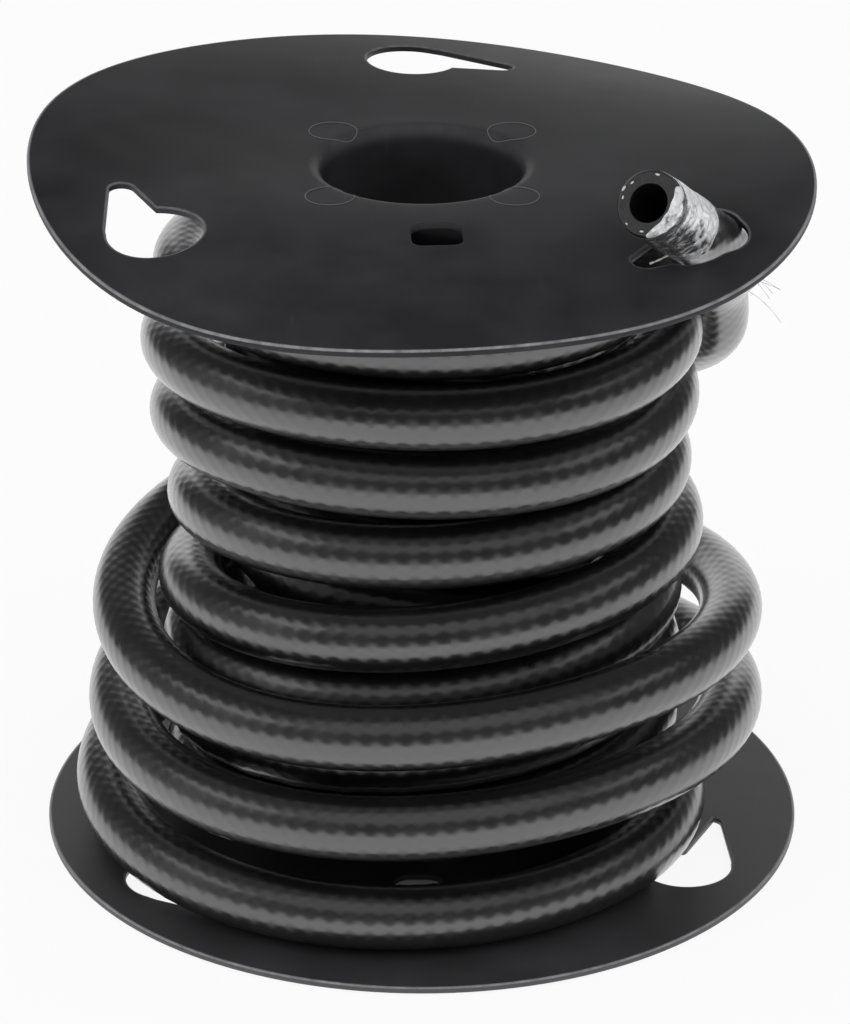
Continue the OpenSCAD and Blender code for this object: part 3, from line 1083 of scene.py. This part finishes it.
@dataclass
class HoseRoute:
    """Centre line of the hose, from its inner end on the drum to the cut end, in millimetres.

    The layer on the drum climbs clockwise, the second layer comes down over it, and the third climbs again
    and leaves through the top flange. Heights and stand-off from the drum are in hose diameters.
    """

    sizes: ReelSizes = field(default_factory=ReelSizes)
    start_dir: float = 135.0
    first_turns: float = 9.24
    upper_lay: tuple[tuple[float, float], ...] = (
        (0.63, 0.52), (0.94, 1.39), (1.36, 1.60), (1.37, 1.57), (1.66, 1.58), (2.22, 1.58), (2.37, 1.94),
        (2.45, 1.82), (2.97, 1.76), (3.49, 1.73), (3.61, 1.75), (3.59, 1.73), (4.20, 1.60), (4.65, 1.63),
        (4.73, 1.63), (5.00, 1.44), (5.61, 1.47), (5.75, 1.77), (5.83, 1.86), (6.39, 1.65), (6.93, 1.55))
    lower_lay: tuple[tuple[float, float], ...] = (
        (0.79, 1.55), (0.55, 1.60), (0.53, 2.32), (0.55, 2.93), (0.92, 2.93), (1.70, 2.89), (2.27, 2.82),
        (1.94, 2.74), (2.33, 2.76), (3.23, 2.81), (3.81, 2.79), (3.42, 2.60), (4.09, 2.73))
    riser: tuple[tuple[float, float, float], ...] = (
        (90, 0.17, 2.85), (60, 0.28, 2.91), (37.5, 0.42, 3.01), (21, 0.57, 2.87), (7.6, 0.78, 2.55),
        (-5.1, 0.90, 2.70))
    covered_ripple: tuple[float, ...] = (0.0, 0.345, 0.495, 0.25)
    covered_stand: float = 1.54
    covered_pitch: float = 1.05
    first_low: float = 0.53
    end_back: float = 21.5
    steps: int = 40

    def stations(self) -> tuple[np.ndarray, int, int]:
        """Direction, radius and height of every station.

        Returns:
            The stations, and the numbers of the first and last covered one.
        """
        s, d = self.sizes, self.sizes.hose_dia
        floor_z, ceiling_z = s.thick, s.height - s.thick
        rows = [(ceiling_z - drop * d, s.drum_r + stand * d) for drop, stand in self.upper_lay]
        top, bottom = rows[-1][0], floor_z + self.lower_lay[0][0] * d
        count = 4 * max(1, math.floor((top - bottom) / (self.covered_pitch * d))) - 1
        first = len(rows)
        for k in range(1, count + 1):
            z = top - (top - bottom) / (count + 1) * k + self.covered_ripple[k % 4] * d * 0.98
            rows.append((z, s.drum_r + self.covered_stand * d))
        last = len(rows)
        rows += [(floor_z + high * d, s.drum_r + stand * d) for high, stand in self.lower_lay]
        return np.array([(self.start_dir - 90 * k, r, z) for k, (z, r) in enumerate(rows)]), first, last

    def dent(self, station: int, direction: np.ndarray) -> Any:
        """How far the riser presses the upper turns in.

        Args:
            station: Station number along the hose.
            direction: Directions from the axis.

        Returns:
            The depth at each.
        """
        off = (direction - 6 + 180) % 360 - 180
        return 0.19 * self.sizes.hose_dia * np.exp(-(off / 12) ** 2) if 0 < station < 9 else 0.0

    def wound(self) -> np.ndarray:
        """Dense points of the second and third layers.

        Returns:
            The points.
        """
        rows, _, _ = self.stations()
        lines, t = [], np.arange(self.steps) / self.steps
        for k in range(len(rows) - 1):
            b, c = rows[k], rows[k + 1]
            a = rows[k - 1] if k else np.array([b[0] + 90, 2 * b[1] - c[1] - 3, b[2]])
            d = rows[k + 2] if k < len(rows) - 2 else np.array([c[0] - 45, c[1] + 2, c[2] + 18])
            _, radius, z = catmull(a, b, c, d, t).T
            direction = b[0] - 90 * t
            lines.append(np.column_stack([polar(radius - self.dent(k, direction), direction), z]))
        return np.vstack(lines)

    def on_cylinder(self, direction: float, radius: float, z: float) -> np.ndarray:
        """Point at a direction, radius and height."""
        return np.append(polar(radius, direction), z)

    def root(self) -> np.ndarray:
        """Start of the hose's straight end."""
        return self.sizes.passage() - self.sizes.end_axis() * self.end_back

    def rising(self) -> np.ndarray:
        """Dense points from the last turn to the straight end.

        Returns:
            The points.
        """
        s, (rows, _, _) = self.sizes, self.stations()
        climb, top = s.thick + self.lower_lay[-1][0] * s.hose_dia, self.root()[2]
        before = catmull(rows[-3], rows[-2], rows[-1], rows[-1] + np.array([-90, 0, 0]), np.array([0.5]))[0]
        way = [self.on_cylinder(*before), self.on_cylinder(*rows[-1])]
        way += [self.on_cylinder(direction, s.drum_r + stand * s.hose_dia, climb + share * (top - climb))
                for direction, share, stand in self.riser]
        way += [self.root(), s.cut_face()]
        t = np.arange(self.steps) / self.steps
        return np.vstack([catmull(*way[k - 1:k + 3], t) for k in range(1, len(way) - 2)])

    def first_layer(self) -> np.ndarray:
        """Dense points of the layer on the drum, each turn level and then stepping up over half a turn.

        Returns:
            The points.
        """
        rows, _, _ = self.stations()
        top, low = rows[0][2], self.sizes.thick + self.first_low * self.sizes.hose_dia
        back = np.arange(self.first_turns * 360, 0, -3.0)
        pitch = (top - low) / math.floor(self.first_turns)
        turns, part = np.divmod(back, 360)
        share = np.clip((270 - part) / 180, 0, 1)
        height = top - pitch * (turns + 1 - share * share * (3 - 2 * share))
        return np.column_stack([polar(rows[0][1], self.start_dir + back), np.maximum(height, low)])

    def line(self) -> tuple[np.ndarray, np.ndarray]:
        """The whole route and which of it shows.

        Returns:
            Dense points, and for each whether it belongs to a stretch that shows.
        """
        rows, first, last = self.stations()
        tangent = np.append(polar(1.0, self.start_dir - 90), 0)
        straight = self.on_cylinder(*rows[0]) + tangent * self.sizes.hose_dia * np.linspace(0, 1, 8)[:, None]
        end = self.root() + (self.sizes.cut_face() - self.root()) * np.linspace(0, 1, 30)[:, None]
        # The straight start takes the place of the first dense points of the winding
        hidden, replaced = self.first_layer(), 14
        points = np.vstack([hidden, straight, self.wound()[replaced:], self.rising(), end])
        shown = np.arange(len(points)) >= len(hidden)
        offset = len(hidden) + len(straight) - replaced
        shown[offset + (first + 1) * self.steps:offset + (last - 1) * self.steps] = False
        return points, shown


@dataclass
class Hose:
    """The whole hose as one tube, with the braid's relief and a cut end with an open bore."""

    skin: BraidedRubber
    cut: CutRubber
    bore: BoreRubber
    route: HoseRoute
    sizes: ReelSizes
    sides: int = 48
    braid_depth: float = 0.05
    hidden_stride: int = 6
    edge_mm: float = 0.7
    bore_mm: float = 30.0
    last_mm: float = 1.2

    def rings(self) -> tuple[np.ndarray, np.ndarray]:
        """Place the rings on whole half-pitches of the braid, so that each one meets its crowns and hollows.

        Returns:
            Ring centres and their distance along the hose, both in millimetres.
        """
        points, shown = self.route.line()
        along = np.r_[0, np.cumsum(np.linalg.norm(np.diff(points, axis=0), axis=1))]
        half, total = self.skin.pitch / MM / 2, along[-1] - self.edge_mm
        marks, k = [0.0], 0
        while (k + 1) * half < total - self.last_mm:
            here = np.searchsorted(along, k * half)
            k += 1 if shown[min(here, len(shown) - 1)] else self.hidden_stride
            marks.append(k * half)
        while marks[-1] > total - self.last_mm:
            marks.pop()
        at = np.array(marks + [total])
        return np.column_stack([np.interp(at, along, points[:, i]) for i in range(3)]), at

    def sweep(self, piece: Object, skin: Material) -> None:
        """Sweep a round section along the route, with the braid's pillows raised on it.

        Args:
            piece: The hose, whose mesh is its centre line.
            skin: The cover's material.
        """
        growth = Growth("braided_hose", {
            "Hose Radius": self.sizes.hose_dia / 2 * MM, "Sides": self.sides, "Braid Pitch": self.skin.pitch,
            "Braid Count": float(self.skin.count), "Braid Depth": self.braid_depth * MM, "Finish": skin})
        add, given = growth.add, growth.given
        line = add("MeshToCurve", {"Mesh": given["Geometry"]})
        upright = add("SetCurveNormal", {"Curve": line}, mode="Z_UP")
        section = add("CurvePrimitiveCircle", {"Resolution": given["Sides"], "Radius": given["Hose Radius"]})
        marked = add("CaptureAttribute")
        marked.capture_items.new("FLOAT", "round")
        growth.tree.links.new(section.outputs[0], marked.inputs[0])
        growth.tree.links.new(add("SplineParameter").outputs["Factor"], marked.inputs[1])
        tube = add("CurveToMesh", {"Curve": upright, "Profile Curve": marked.outputs[0]})
        angle = add("Math", (marked.outputs[1], 2 * math.pi), operation="MULTIPLY")
        along = add("InputNamedAttribute", {"Name": "along"}, data_type="FLOAT")
        east, north = (add("Math", (angle,), operation=name) for name in ("COSINE", "SINE"))
        braid = add("CombineXYZ", (east, north, along))
        kept = add("StoreNamedAttribute", {"Geometry": tube, "Name": "braid", "Value": braid},
                   data_type="FLOAT_VECTOR", domain="POINT")
        row = add("Math", (angle, given["Braid Count"]), operation="MULTIPLY")
        step = add("Math", (along, given["Braid Pitch"]), operation="DIVIDE")
        whole = add("Math", (step, 2 * math.pi), operation="MULTIPLY")
        waves = [add("Math", (turn,), operation="COSINE") for turn in (row, whole)]
        pillow = add("Math", waves, operation="MULTIPLY")
        # Crowns stay at the hose's own radius and the hollows lie below it
        sunk = add("Math", (pillow, 1.0), operation="SUBTRACT")
        lift = add("Math", (sunk, given["Braid Depth"]), operation="MULTIPLY")
        push = add("VectorMath", {0: add("InputNormal"), "Scale": lift}, operation="SCALE")
        growth.run(piece, add("SetPosition", {"Geometry": kept, "Offset": push}))

    def close_end(self, shape: BMesh, ring: list[BMVert], centre: Vector, axis: Vector) -> None:
        """Close an open end of the tube with a rounded edge, a cut face and a bore.

        Args:
            shape: The hose's mesh.
            ring: The end's open ring, in order.
            centre: Middle of the ring.
            axis: Direction out of the hose.
        """
        radius, edge, bore = self.sizes.hose_dia / 2, self.edge_mm, self.sizes.hose_bore / 2
        steps = [(radius - edge * (1 - math.cos(a)), edge * math.sin(a), 0) for a in np.radians([30, 60, 90])]
        steps += [(radius - edge - 0.35, edge, 1), (bore + 0.9, edge, 1), (bore + 0.35, edge, 1),
                  (bore + 0.1, edge - 0.12, 1), (bore, edge - 0.4, 2), (bore, edge - 3, 2),
                  (bore, edge - self.bore_mm, 2)]
        spokes = [(v.co - centre - axis * (v.co - centre).dot(axis)).normalized() for v in ring]
        before = ring
        for size, out, slot in steps:
            row = [shape.verts.new(centre + spoke * size * MM + axis * out * MM) for spoke in spokes]
            for k in range(len(row)):
                face = shape.faces.new([before[k - 1], before[k], row[k], row[k - 1]])
                face.material_index, face.smooth = slot, True
            before = row
        shape.faces.new(before).material_index = 2

    def build(self) -> tuple[Object, np.ndarray, float]:
        """Build and dress the hose.

        Returns:
            The hose, its centre line in metres and its length in metres.
        """
        place, at = self.rings()
        seed = bpy.data.meshes.new("hose")
        seed.from_pydata([tuple(p * MM) for p in place], [(k, k + 1) for k in range(len(place) - 1)], [])
        seed.attributes.new("along", "FLOAT", "POINT").data.foreach_set("value", (at * MM).astype(np.float32))
        piece, skin = new_piece("braided_hose", seed), self.skin.material()
        self.sweep(piece, skin)
        piece.data.materials.clear()
        for material in (skin, self.cut.material(), self.bore.material()):
            piece.data.materials.append(material)
        shape = bmesh.new()
        shape.from_mesh(piece.data)
        open_edges = [e for e in shape.edges if len(e.link_faces) == 1]
        for end, neighbour in ((place[0], place[1]), (place[-1], place[-2])):
            centre, axis = Vector(end * MM), Vector(end - neighbour).normalized()
            near = [e for e in open_edges if (e.verts[0].co - centre).length < self.sizes.hose_dia * MM]
            onward = {e.link_loops[0].link_loop_next.vert: e.link_loops[0].vert for e in near}
            first = next(iter(onward))
            ring, here = [first], onward[first]
            while here is not first:
                ring.append(here)
                here = onward[here]
            self.close_end(shape, ring, centre, axis)
        bmesh.ops.recalc_face_normals(shape, faces=shape.faces)
        shape.to_mesh(piece.data)
        shape.free()
        return piece, place * MM, (at[-1] + self.edge_mm) * MM


@dataclass
class HoseEnd:
    """What is on the hose's cut end: the film tape with its flap, the yarn ends, a thread and fibres."""

    tape_finish: FilmTape
    yarn_finish: PolyesterYarn
    sizes: ReelSizes
    # The tape, in millimetres from the cut face and from the hose
    inset: float = 2.0
    length: float = 29.0
    gap: float = 0.1
    thick: float = 0.3
    # Directions round the cut face between which the flap is folded over it, and its width
    fold_from: float = 140.0
    fold_to: float = 258.0
    fold_wide: float = 2.7
    # Where the film is painted dark: in a band behind the cut face as a painted shadow, and on the side away
    # from this direction as painted shade; the side towards it keeps a painted highlight
    band_at: float = 3.2
    band_wide: float = 1.3
    slack_dir: float = 112.0
    flap_slack: float = 0.5
    yarn_radius: float = 8.2
    yarn_count: int = 19
    bead_mm: float = 0.5
    yarn_sunk: float = 0.42
    seed: int = 5
    # Where the thread starts in the end's frame, and the fibres in the reel's, and their radii
    thread_from: tuple[float, float, float] = (0.0, -9.7, -22.0)
    thread_mm: float = 0.35
    fibre_from: tuple[float, float, float] = (93.0, -35.0, 191.0)
    fibre_mm: float = 0.08
    fibre_count: int = 5
    bends: int = 9

    def frame_of_end(self) -> Matrix:
        """Frame with +Z out of the cut face, +X level and its origin in the face's middle, in metres.

        Returns:
            The frame.
        """
        axis = Vector(self.sizes.end_axis())
        level = axis.cross(Vector((0, 0, 1))).normalized()
        turn = Matrix((level, level.cross(axis), axis)).transposed().to_4x4()
        return Matrix.Translation(Vector(self.sizes.cut_face() * MM)) @ turn

    def tape(self) -> Object:
        """The tape: two turns of film with a slack outer lap, creases and a ragged rear edge.

        Returns:
            The tape.
        """
        around, rows, inner = 120, 60, self.sizes.hose_dia / 2 + self.gap
        random = np.random.default_rng(7)
        waves = [(random.integers(1, 7), random.uniform(0.1, 0.5), random.uniform(0, 6.28),
                  random.uniform(0.02, 0.055)) for _ in range(9)]
        a, share = 2 * math.pi * np.arange(around) / around, np.linspace(0, 1, rows + 1)[:, None]
        crease = sum(size * np.sin(n * a + turn + speed * share * self.length)
                     for n, speed, turn, size in waves)
        ragged = 0.5 * np.sin(3 * a + 1) + 0.35 * np.sin(7 * a)
        back = np.where(share > 0, share * (self.length + ragged - self.inset), 0.25 * np.sin(2 * a))
        outer = inner + self.thick - 0.13 + np.maximum(-0.12, crease * 0.8)
        skins = [np.stack(np.broadcast_arrays(r * np.cos(a), r * np.sin(a), -self.inset - back), -1)
                 for r in (inner, outer)]
        points = [tuple(p) for p in np.vstack(skins).reshape(-1, 3)]
        # Down the inner skin, up the outer one and back to the first ring
        order = [*range(rows, -1, -1), *range(rows + 1, 2 * rows + 2), rows]
        faces = wall([ring * around for ring in order], around) + self.fold(points)
        mesh = mesh_from(np.array(points) * MM, faces)
        # Painted light in the attribute: a painted shadow in a band behind the cut face, painted shade on the
        # side away from the lit direction, and a light folded flap
        tight = [self.band_wide * math.exp(-((z + self.band_at) / self.band_wide) ** 2)
                 - math.cos(math.atan2(y, x) - math.radians(self.slack_dir)) if z < -1 else -self.flap_slack
                 for x, y, z in points]
        mesh.attributes.new("tight", "FLOAT", "POINT").data.foreach_set("value", np.array(tight, np.float32))
        mesh.transform(self.frame_of_end())
        piece = new_piece("film_tape", mesh)
        mesh.materials.append(self.tape_finish.material())
        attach(piece, "root")
        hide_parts("end_tape")
        return piece

    def fold(self, points: list[Any]) -> list[list[int]]:
        """Add the flap of film that is folded over the hose's edge onto the cut face.

        Args:
            points: The tape's points in the end's frame, in millimetres, to which the flap's are added.

        Returns:
            The flap's faces.
        """
        first, steps, radius = len(points), 40, self.sizes.hose_dia / 2
        for k in range(steps + 1):
            a = math.radians(self.fold_from + (self.fold_to - self.fold_from) * k / steps)
            wide = 0.35 + self.fold_wide * math.sin(math.pi * k / steps) ** 0.6 + 0.12 * math.sin(11 * a)
            lift = 0.12 * math.sin(7 * a) ** 2
            section = [(radius + 0.24, -self.inset - 0.3), (radius + 0.26, -0.5),
                       (radius - 0.1, 0.16 + lift), (radius - wide, 0.18 + lift)]
            section += [(r - 0.08, z - 0.1) for r, z in section[::-1]]
            points += [(r * math.cos(a), r * math.sin(a), z) for r, z in section]
        return rod(first, steps + 1, 8)

    def yarn_ends(self) -> Object:
        """The cut yarns of the braid, in a ring near the edge of the cut face, as small flattened beads.

        Returns:
            The yarn ends.
        """
        growth = Growth("yarn_ends", {
            "Ring Radius": self.yarn_radius * MM, "Count": self.yarn_count, "Bead Radius": self.bead_mm * MM,
            "Seed": self.seed, "Finish": self.yarn_finish.material()})
        add, given = growth.add, growth.given
        spots = add("MeshCircle", {"Vertices": given["Count"], "Radius": given["Ring Radius"]})
        bead = add("MeshIcoSphere", {"Radius": given["Bead Radius"], "Subdivisions": 3})
        wide = add("Transform", {"Geometry": bead, "Scale": (0.75, 1.7, 0.6)})
        size = add("RandomValue", {2: 0.3, 3: 1.0, "Seed": given["Seed"]}, data_type="FLOAT")
        sunk = add("RandomValue", {"Probability": self.yarn_sunk, "Seed": given["Seed"]}, data_type="BOOLEAN")
        seen = add("DeleteGeometry", {"Geometry": spots, "Selection": sunk}, domain="POINT")
        facing = add("AlignRotationToVector", {"Vector": add("InputPosition")}, axis="X", pivot_axis="Z")
        set_out = add("InstanceOnPoints", {
            "Points": seen, "Instance": wide, "Rotation": facing, "Scale": size})
        low, high = (-0.0006, -0.0006, 0.0), (0.0006, 0.0006, 0.0001)
        jitter = add("RandomValue", {0: low, 1: high, "Seed": given["Seed"]}, data_type="FLOAT_VECTOR")
        moved = add("TranslateInstances", {"Instances": set_out, "Translation": jitter})
        piece = growth.run(new_piece("braid_yarn_ends", bpy.data.meshes.new("braid_yarn_ends")), moved)
        piece.data.transform(self.frame_of_end())
        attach(piece, "root")
        return piece

    def thread(self) -> Object:
        """A loose yarn that comes out under the tape and lies on the flange, as a thin twisted tube.

        Returns:
            The thread.
        """
        s, line = self.sizes, []
        start = self.frame_of_end() @ (Vector(self.thread_from) * MM)
        for k in range(self.bends):
            at, share = start + Vector((-0.65 * k, -0.58 * k + 0.02 * k * k, 0.0)) * MM, k / (self.bends - 1)
            rest = (s.height + s.warp(at.x / MM, at.y / MM) + 0.5) * MM
            at.z = start.z * (1 - share) + rest * share
            line.append(at)
        return self.strands("loose_thread", [line], self.thread_mm * MM)

    def fibres(self) -> Object:
        """Frayed fibres that stand off the hose under the top flange's edge.

        Returns:
            The fibres.
        """
        random, lines = np.random.default_rng(3), []
        for _ in range(self.fibre_count):
            spread = [random.uniform(*ends) for ends in ((-1, 1), (-2, 2), (-5, 3))]
            out, drop, curl = (random.uniform(*ends) for ends in ((0.7, 1.15), (0.1, 0.9), (-0.12, 0.05)))
            start = Vector(self.fibre_from) + Vector(spread)
            lines.append([(start + Vector((out * k, -0.8 * k, -drop * k + curl * k * k))) * MM
                          for k in range(self.bends)])
        return self.strands("frayed_fibres", lines, self.fibre_mm * MM)

    def strands(self, name: str, lines: list[list[Vector]], radius: float) -> Object:
        """Yarns along lines of points.

        Args:
            name: The piece's name.
            lines: The points of each yarn, in metres.
            radius: Their radius, in metres.

        Returns:
            The yarns as one piece.
        """
        points, faces, sides = [], [], 8
        round_points = polar(1.0, 360 * np.arange(sides) / sides).tolist()
        for line in lines:
            faces += rod(len(points), len(line), sides)
            for k, at in enumerate(line):
                way = (line[min(k + 1, len(line) - 1)] - line[max(k - 1, 0)]).normalized()
                side = way.cross(Vector((0, 0, 1))).normalized()
                up = side.cross(way)
                size = radius * (0.75 + 0.3 * math.sin(1.9 * k))
                points += [at + size * (side * x + up * y) for x, y in round_points]
        piece = new_piece(name, mesh_from(points, faces))
        piece.data.materials.append(self.yarn_finish.material())
        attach(piece, "root")
        return piece


# ---------------------------------------------------------------- drum and studio


@dataclass
class Drum:
    """The drum tube, which keeps its CAD shape and gets its finish."""

    finish: MouldedPlastic

    def dress(self) -> None:
        """Give the drum tube its material."""
        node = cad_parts["drum_tube"]
        node.data.materials.clear()
        node.data.materials.append(self.finish.material())


@dataclass
class Studio:
    """Camera, lamps, floor and backdrop, in metres."""

    camera_at: tuple[float, float, float] = (0.0, -1.37377, 0.73646)
    pitch: float = 24.867
    yaw: float = 0.037
    roll: float = 0.058
    lens: float = 177.59
    fill_light: float = 0.72
    overhead: float = 0.07
    floor_half: float = 4.0
    floor_drop: float = 0.0004
    floor_glow: float = 0.9
    # Between these distances from the axis the table passes out of the reel's own shade
    shade_in: float = 0.066
    shade_out: float = 0.074
    screen_r: float = 1.0
    screen_top: float = 0.75
    screen_fade: float = 0.14
    screen_rise: float = 0.4
    # Each lamp's name, place, width and height, and power in watts
    lamps: tuple[tuple[str, tuple[float, float, float], tuple[float, float], float], ...] = (
        ("softbox_front", (0.0, -0.9, 1.6), (2.4, 1.4), 3.5),
        ("softbox_low", (0.0, -1.2, 0.06), (2.0, 0.12), 1.2),
        ("softbox_left", (-1.3, -0.2, 0.7), (1.0, 1.0), 3.5),
        ("softbox_right", (1.3, -0.2, 0.7), (1.0, 1.0), 2.5))

    def camera(self) -> None:
        """Set the camera."""
        data = bpy.data.cameras.new("camera")
        data.lens, data.sensor_width, data.sensor_fit = self.lens, 36.0, "AUTO"
        data.clip_start, data.clip_end = 0.05, 50.0
        pitch, yaw, roll = (math.radians(a) for a in (self.pitch, self.yaw, self.roll))
        ahead = Vector((math.sin(yaw) * math.cos(pitch), math.cos(yaw) * math.cos(pitch), -math.sin(pitch)))
        right = Vector((math.cos(yaw), -math.sin(yaw), 0.0))
        up = right.cross(ahead)
        across = math.cos(roll) * right + math.sin(roll) * up
        above = math.cos(roll) * up - math.sin(roll) * right
        camera = bpy.data.objects.new("camera", data)
        turn = Matrix((across, above, -ahead)).transposed().to_4x4()
        camera.matrix_world = Matrix.Translation(self.camera_at) @ turn
        bpy.context.scene.collection.objects.link(camera)
        bpy.context.scene.camera = camera

    def softboxes(self) -> None:
        """Set up the soft rectangular lamps, which point at the reel."""
        for name, at, size, watts in self.lamps:
            data = bpy.data.lights.new(name, "AREA")
            data.shape, data.size, data.size_y, data.energy = "RECTANGLE", *size, watts
            lamp = bpy.data.objects.new(name, data)
            lamp.location = at
            lamp.rotation_euler = (Vector((0, 0, 0.1)) - Vector(at)).to_track_quat("-Z", "Y").to_euler()
            bpy.context.scene.collection.objects.link(lamp)

    def world(self) -> None:
        """White surroundings to the eye, and a plain soft fill for the object."""
        world = bpy.data.worlds.new("studio")
        bpy.context.scene.world = world
        world.use_nodes = True
        world.node_tree.nodes.clear()
        add = partial(add_node, world.node_tree)
        path = add("LightPath").outputs
        mirrored = add("Mix", (path["Is Glossy Ray"], self.fill_light, self.overhead), data_type="FLOAT")
        straight = add("Math", (path["Is Camera Ray"], path["Is Transmission Ray"]), operation="MAXIMUM")
        strength = add("Mix", (straight, mirrored, 1.0), data_type="FLOAT")
        add("OutputWorld", {"Surface": add("Background", (WHITE, strength))})

    def table(self, add: Adder) -> Node:
        """Lay out the pale table, which shows near white and keeps a soft shadow.

        Args:
            add: Adds a node to the material's tree.

        Returns:
            The shader.
        """
        matt, glow = add("BsdfDiffuse", {"Color": linear("#f2f2f1")}), add("Emission", (WHITE, 1.0))
        # Under the drum the table lies in the reel's own shade
        away = add("VectorMath", (add("TexCoord").outputs["Object"],), operation="LENGTH").outputs["Value"]
        open_air = add("MapRange", (away, self.shade_in, self.shade_out, 0.0, self.floor_glow))
        path = add("LightPath").outputs
        seen = add("Math", (path["Is Camera Ray"], path["Is Glossy Ray"]), operation="MAXIMUM")
        seen = add("Math", (seen, path["Is Transmission Ray"]), operation="MAXIMUM")
        share = add("Math", (seen, open_air), operation="MULTIPLY")
        return add("MixShader", (share, matt, glow))

    def floor(self) -> None:
        """Set up the floor."""
        h = self.floor_half
        corners = [(-h, -h, 0), (h, -h, 0), (h, h, 0), (-h, h, 0)]
        floor = new_piece("floor", mesh_from(corners, [(0, 1, 2, 3)]))
        floor.location.z = -self.floor_drop
        floor.data.materials.append(new_material("pale_table", self.table))

    def backdrop(self, add: Adder) -> Node:
        """Lay out the screen, which only reflections see and which fades to dark at its top.

        Args:
            add: Adds a node to the material's tree.

        Returns:
            The shader.
        """
        _, north, height = add("SeparateXYZ", (add("TexCoord").outputs["Object"],)).outputs
        # The screen stands taller behind the reel
        rise = add("MapRange", (north, 0.82, 0.93, 0.0, self.screen_rise))
        level = add("Math", (height, rise), operation="SUBTRACT")
        fade = add("MapRange", (level, 0.0, self.screen_fade, 1.0, self.overhead),
                   interpolation_type="SMOOTHSTEP")
        clear, glow = add("BsdfTransparent", (WHITE,)), add("Emission", (WHITE, fade))
        return add("MixShader", (add("LightPath").outputs["Is Glossy Ray"], clear, glow))

    def screen(self) -> None:
        """Set up the low white screen round the reel."""
        ring = polar(self.screen_r, np.arange(0, 360, 5))
        points = [(x, y, z) for z in (0.0, self.screen_top) for x, y in ring]
        screen = new_piece("screen", mesh_from(points, wall([len(ring), 0], len(ring))))
        screen.data.materials.append(new_material("white_screen", self.backdrop))

    def build(self) -> None:
        """Set up the whole studio."""
        bpy.context.scene.view_settings.view_transform = "Standard"
        for part in (self.camera, self.world, self.floor, self.screen, self.softboxes):
            part()


def main() -> None:
    """Build the hose reel and its studio, and report each piece."""
    logging.basicConfig(level=logging.INFO, format="%(message)s")
    Studio().build()
    sizes = ReelSizes()
    hose, line, length = Hose(BraidedRubber(), CutRubber(), BoreRubber(), HoseRoute(sizes), sizes).build()
    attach(hose, "root")
    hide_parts("hose_inner_layer", "hose_outer_turns")
    end = HoseEnd(FilmTape(), PolyesterYarn(), sizes)
    carried = [end.tape(), end.yarn_ends(), end.thread(), end.fibres()]
    # The bottom flange's plastic is painted a little lighter than the top's, as painted light for the
    # brighter light on its sides
    lit_foot = MouldedPlastic("moulded_polypropylene_foot", colour="#2e2e30", specular=0.95)
    # The ring marks are painted much lighter than the flange, as a painted highlight on their fine raised
    # lines
    mark_highlight = MouldedPlastic("moulded_polypropylene_mark", colour="#66666a", scuffed="#707074")
    top = Flange(Side.TOP, HoleForm.PLAIN, MouldedPlastic(), sizes).build("top_flange", "top_moulding")
    low = Flange(Side.BOTTOM, HoleForm.TONGUED, lit_foot, sizes, 269.0)
    bottom = low.build("bottom_flange", "bottom_moulding")
    marks = MouldMarks(mark_highlight, sizes).build(top)
    Drum(MouldedPlastic("extruded_polypropylene", colour="#222223")).dress()
    for piece in [hose, top, bottom, marks] + carried:
        LOG.info("%s: %d points, %d faces", piece.name, len(piece.data.vertices), len(piece.data.polygons))
    LOG.info("hose length %.3f m", length)


if __name__ == "__main__":
    main()
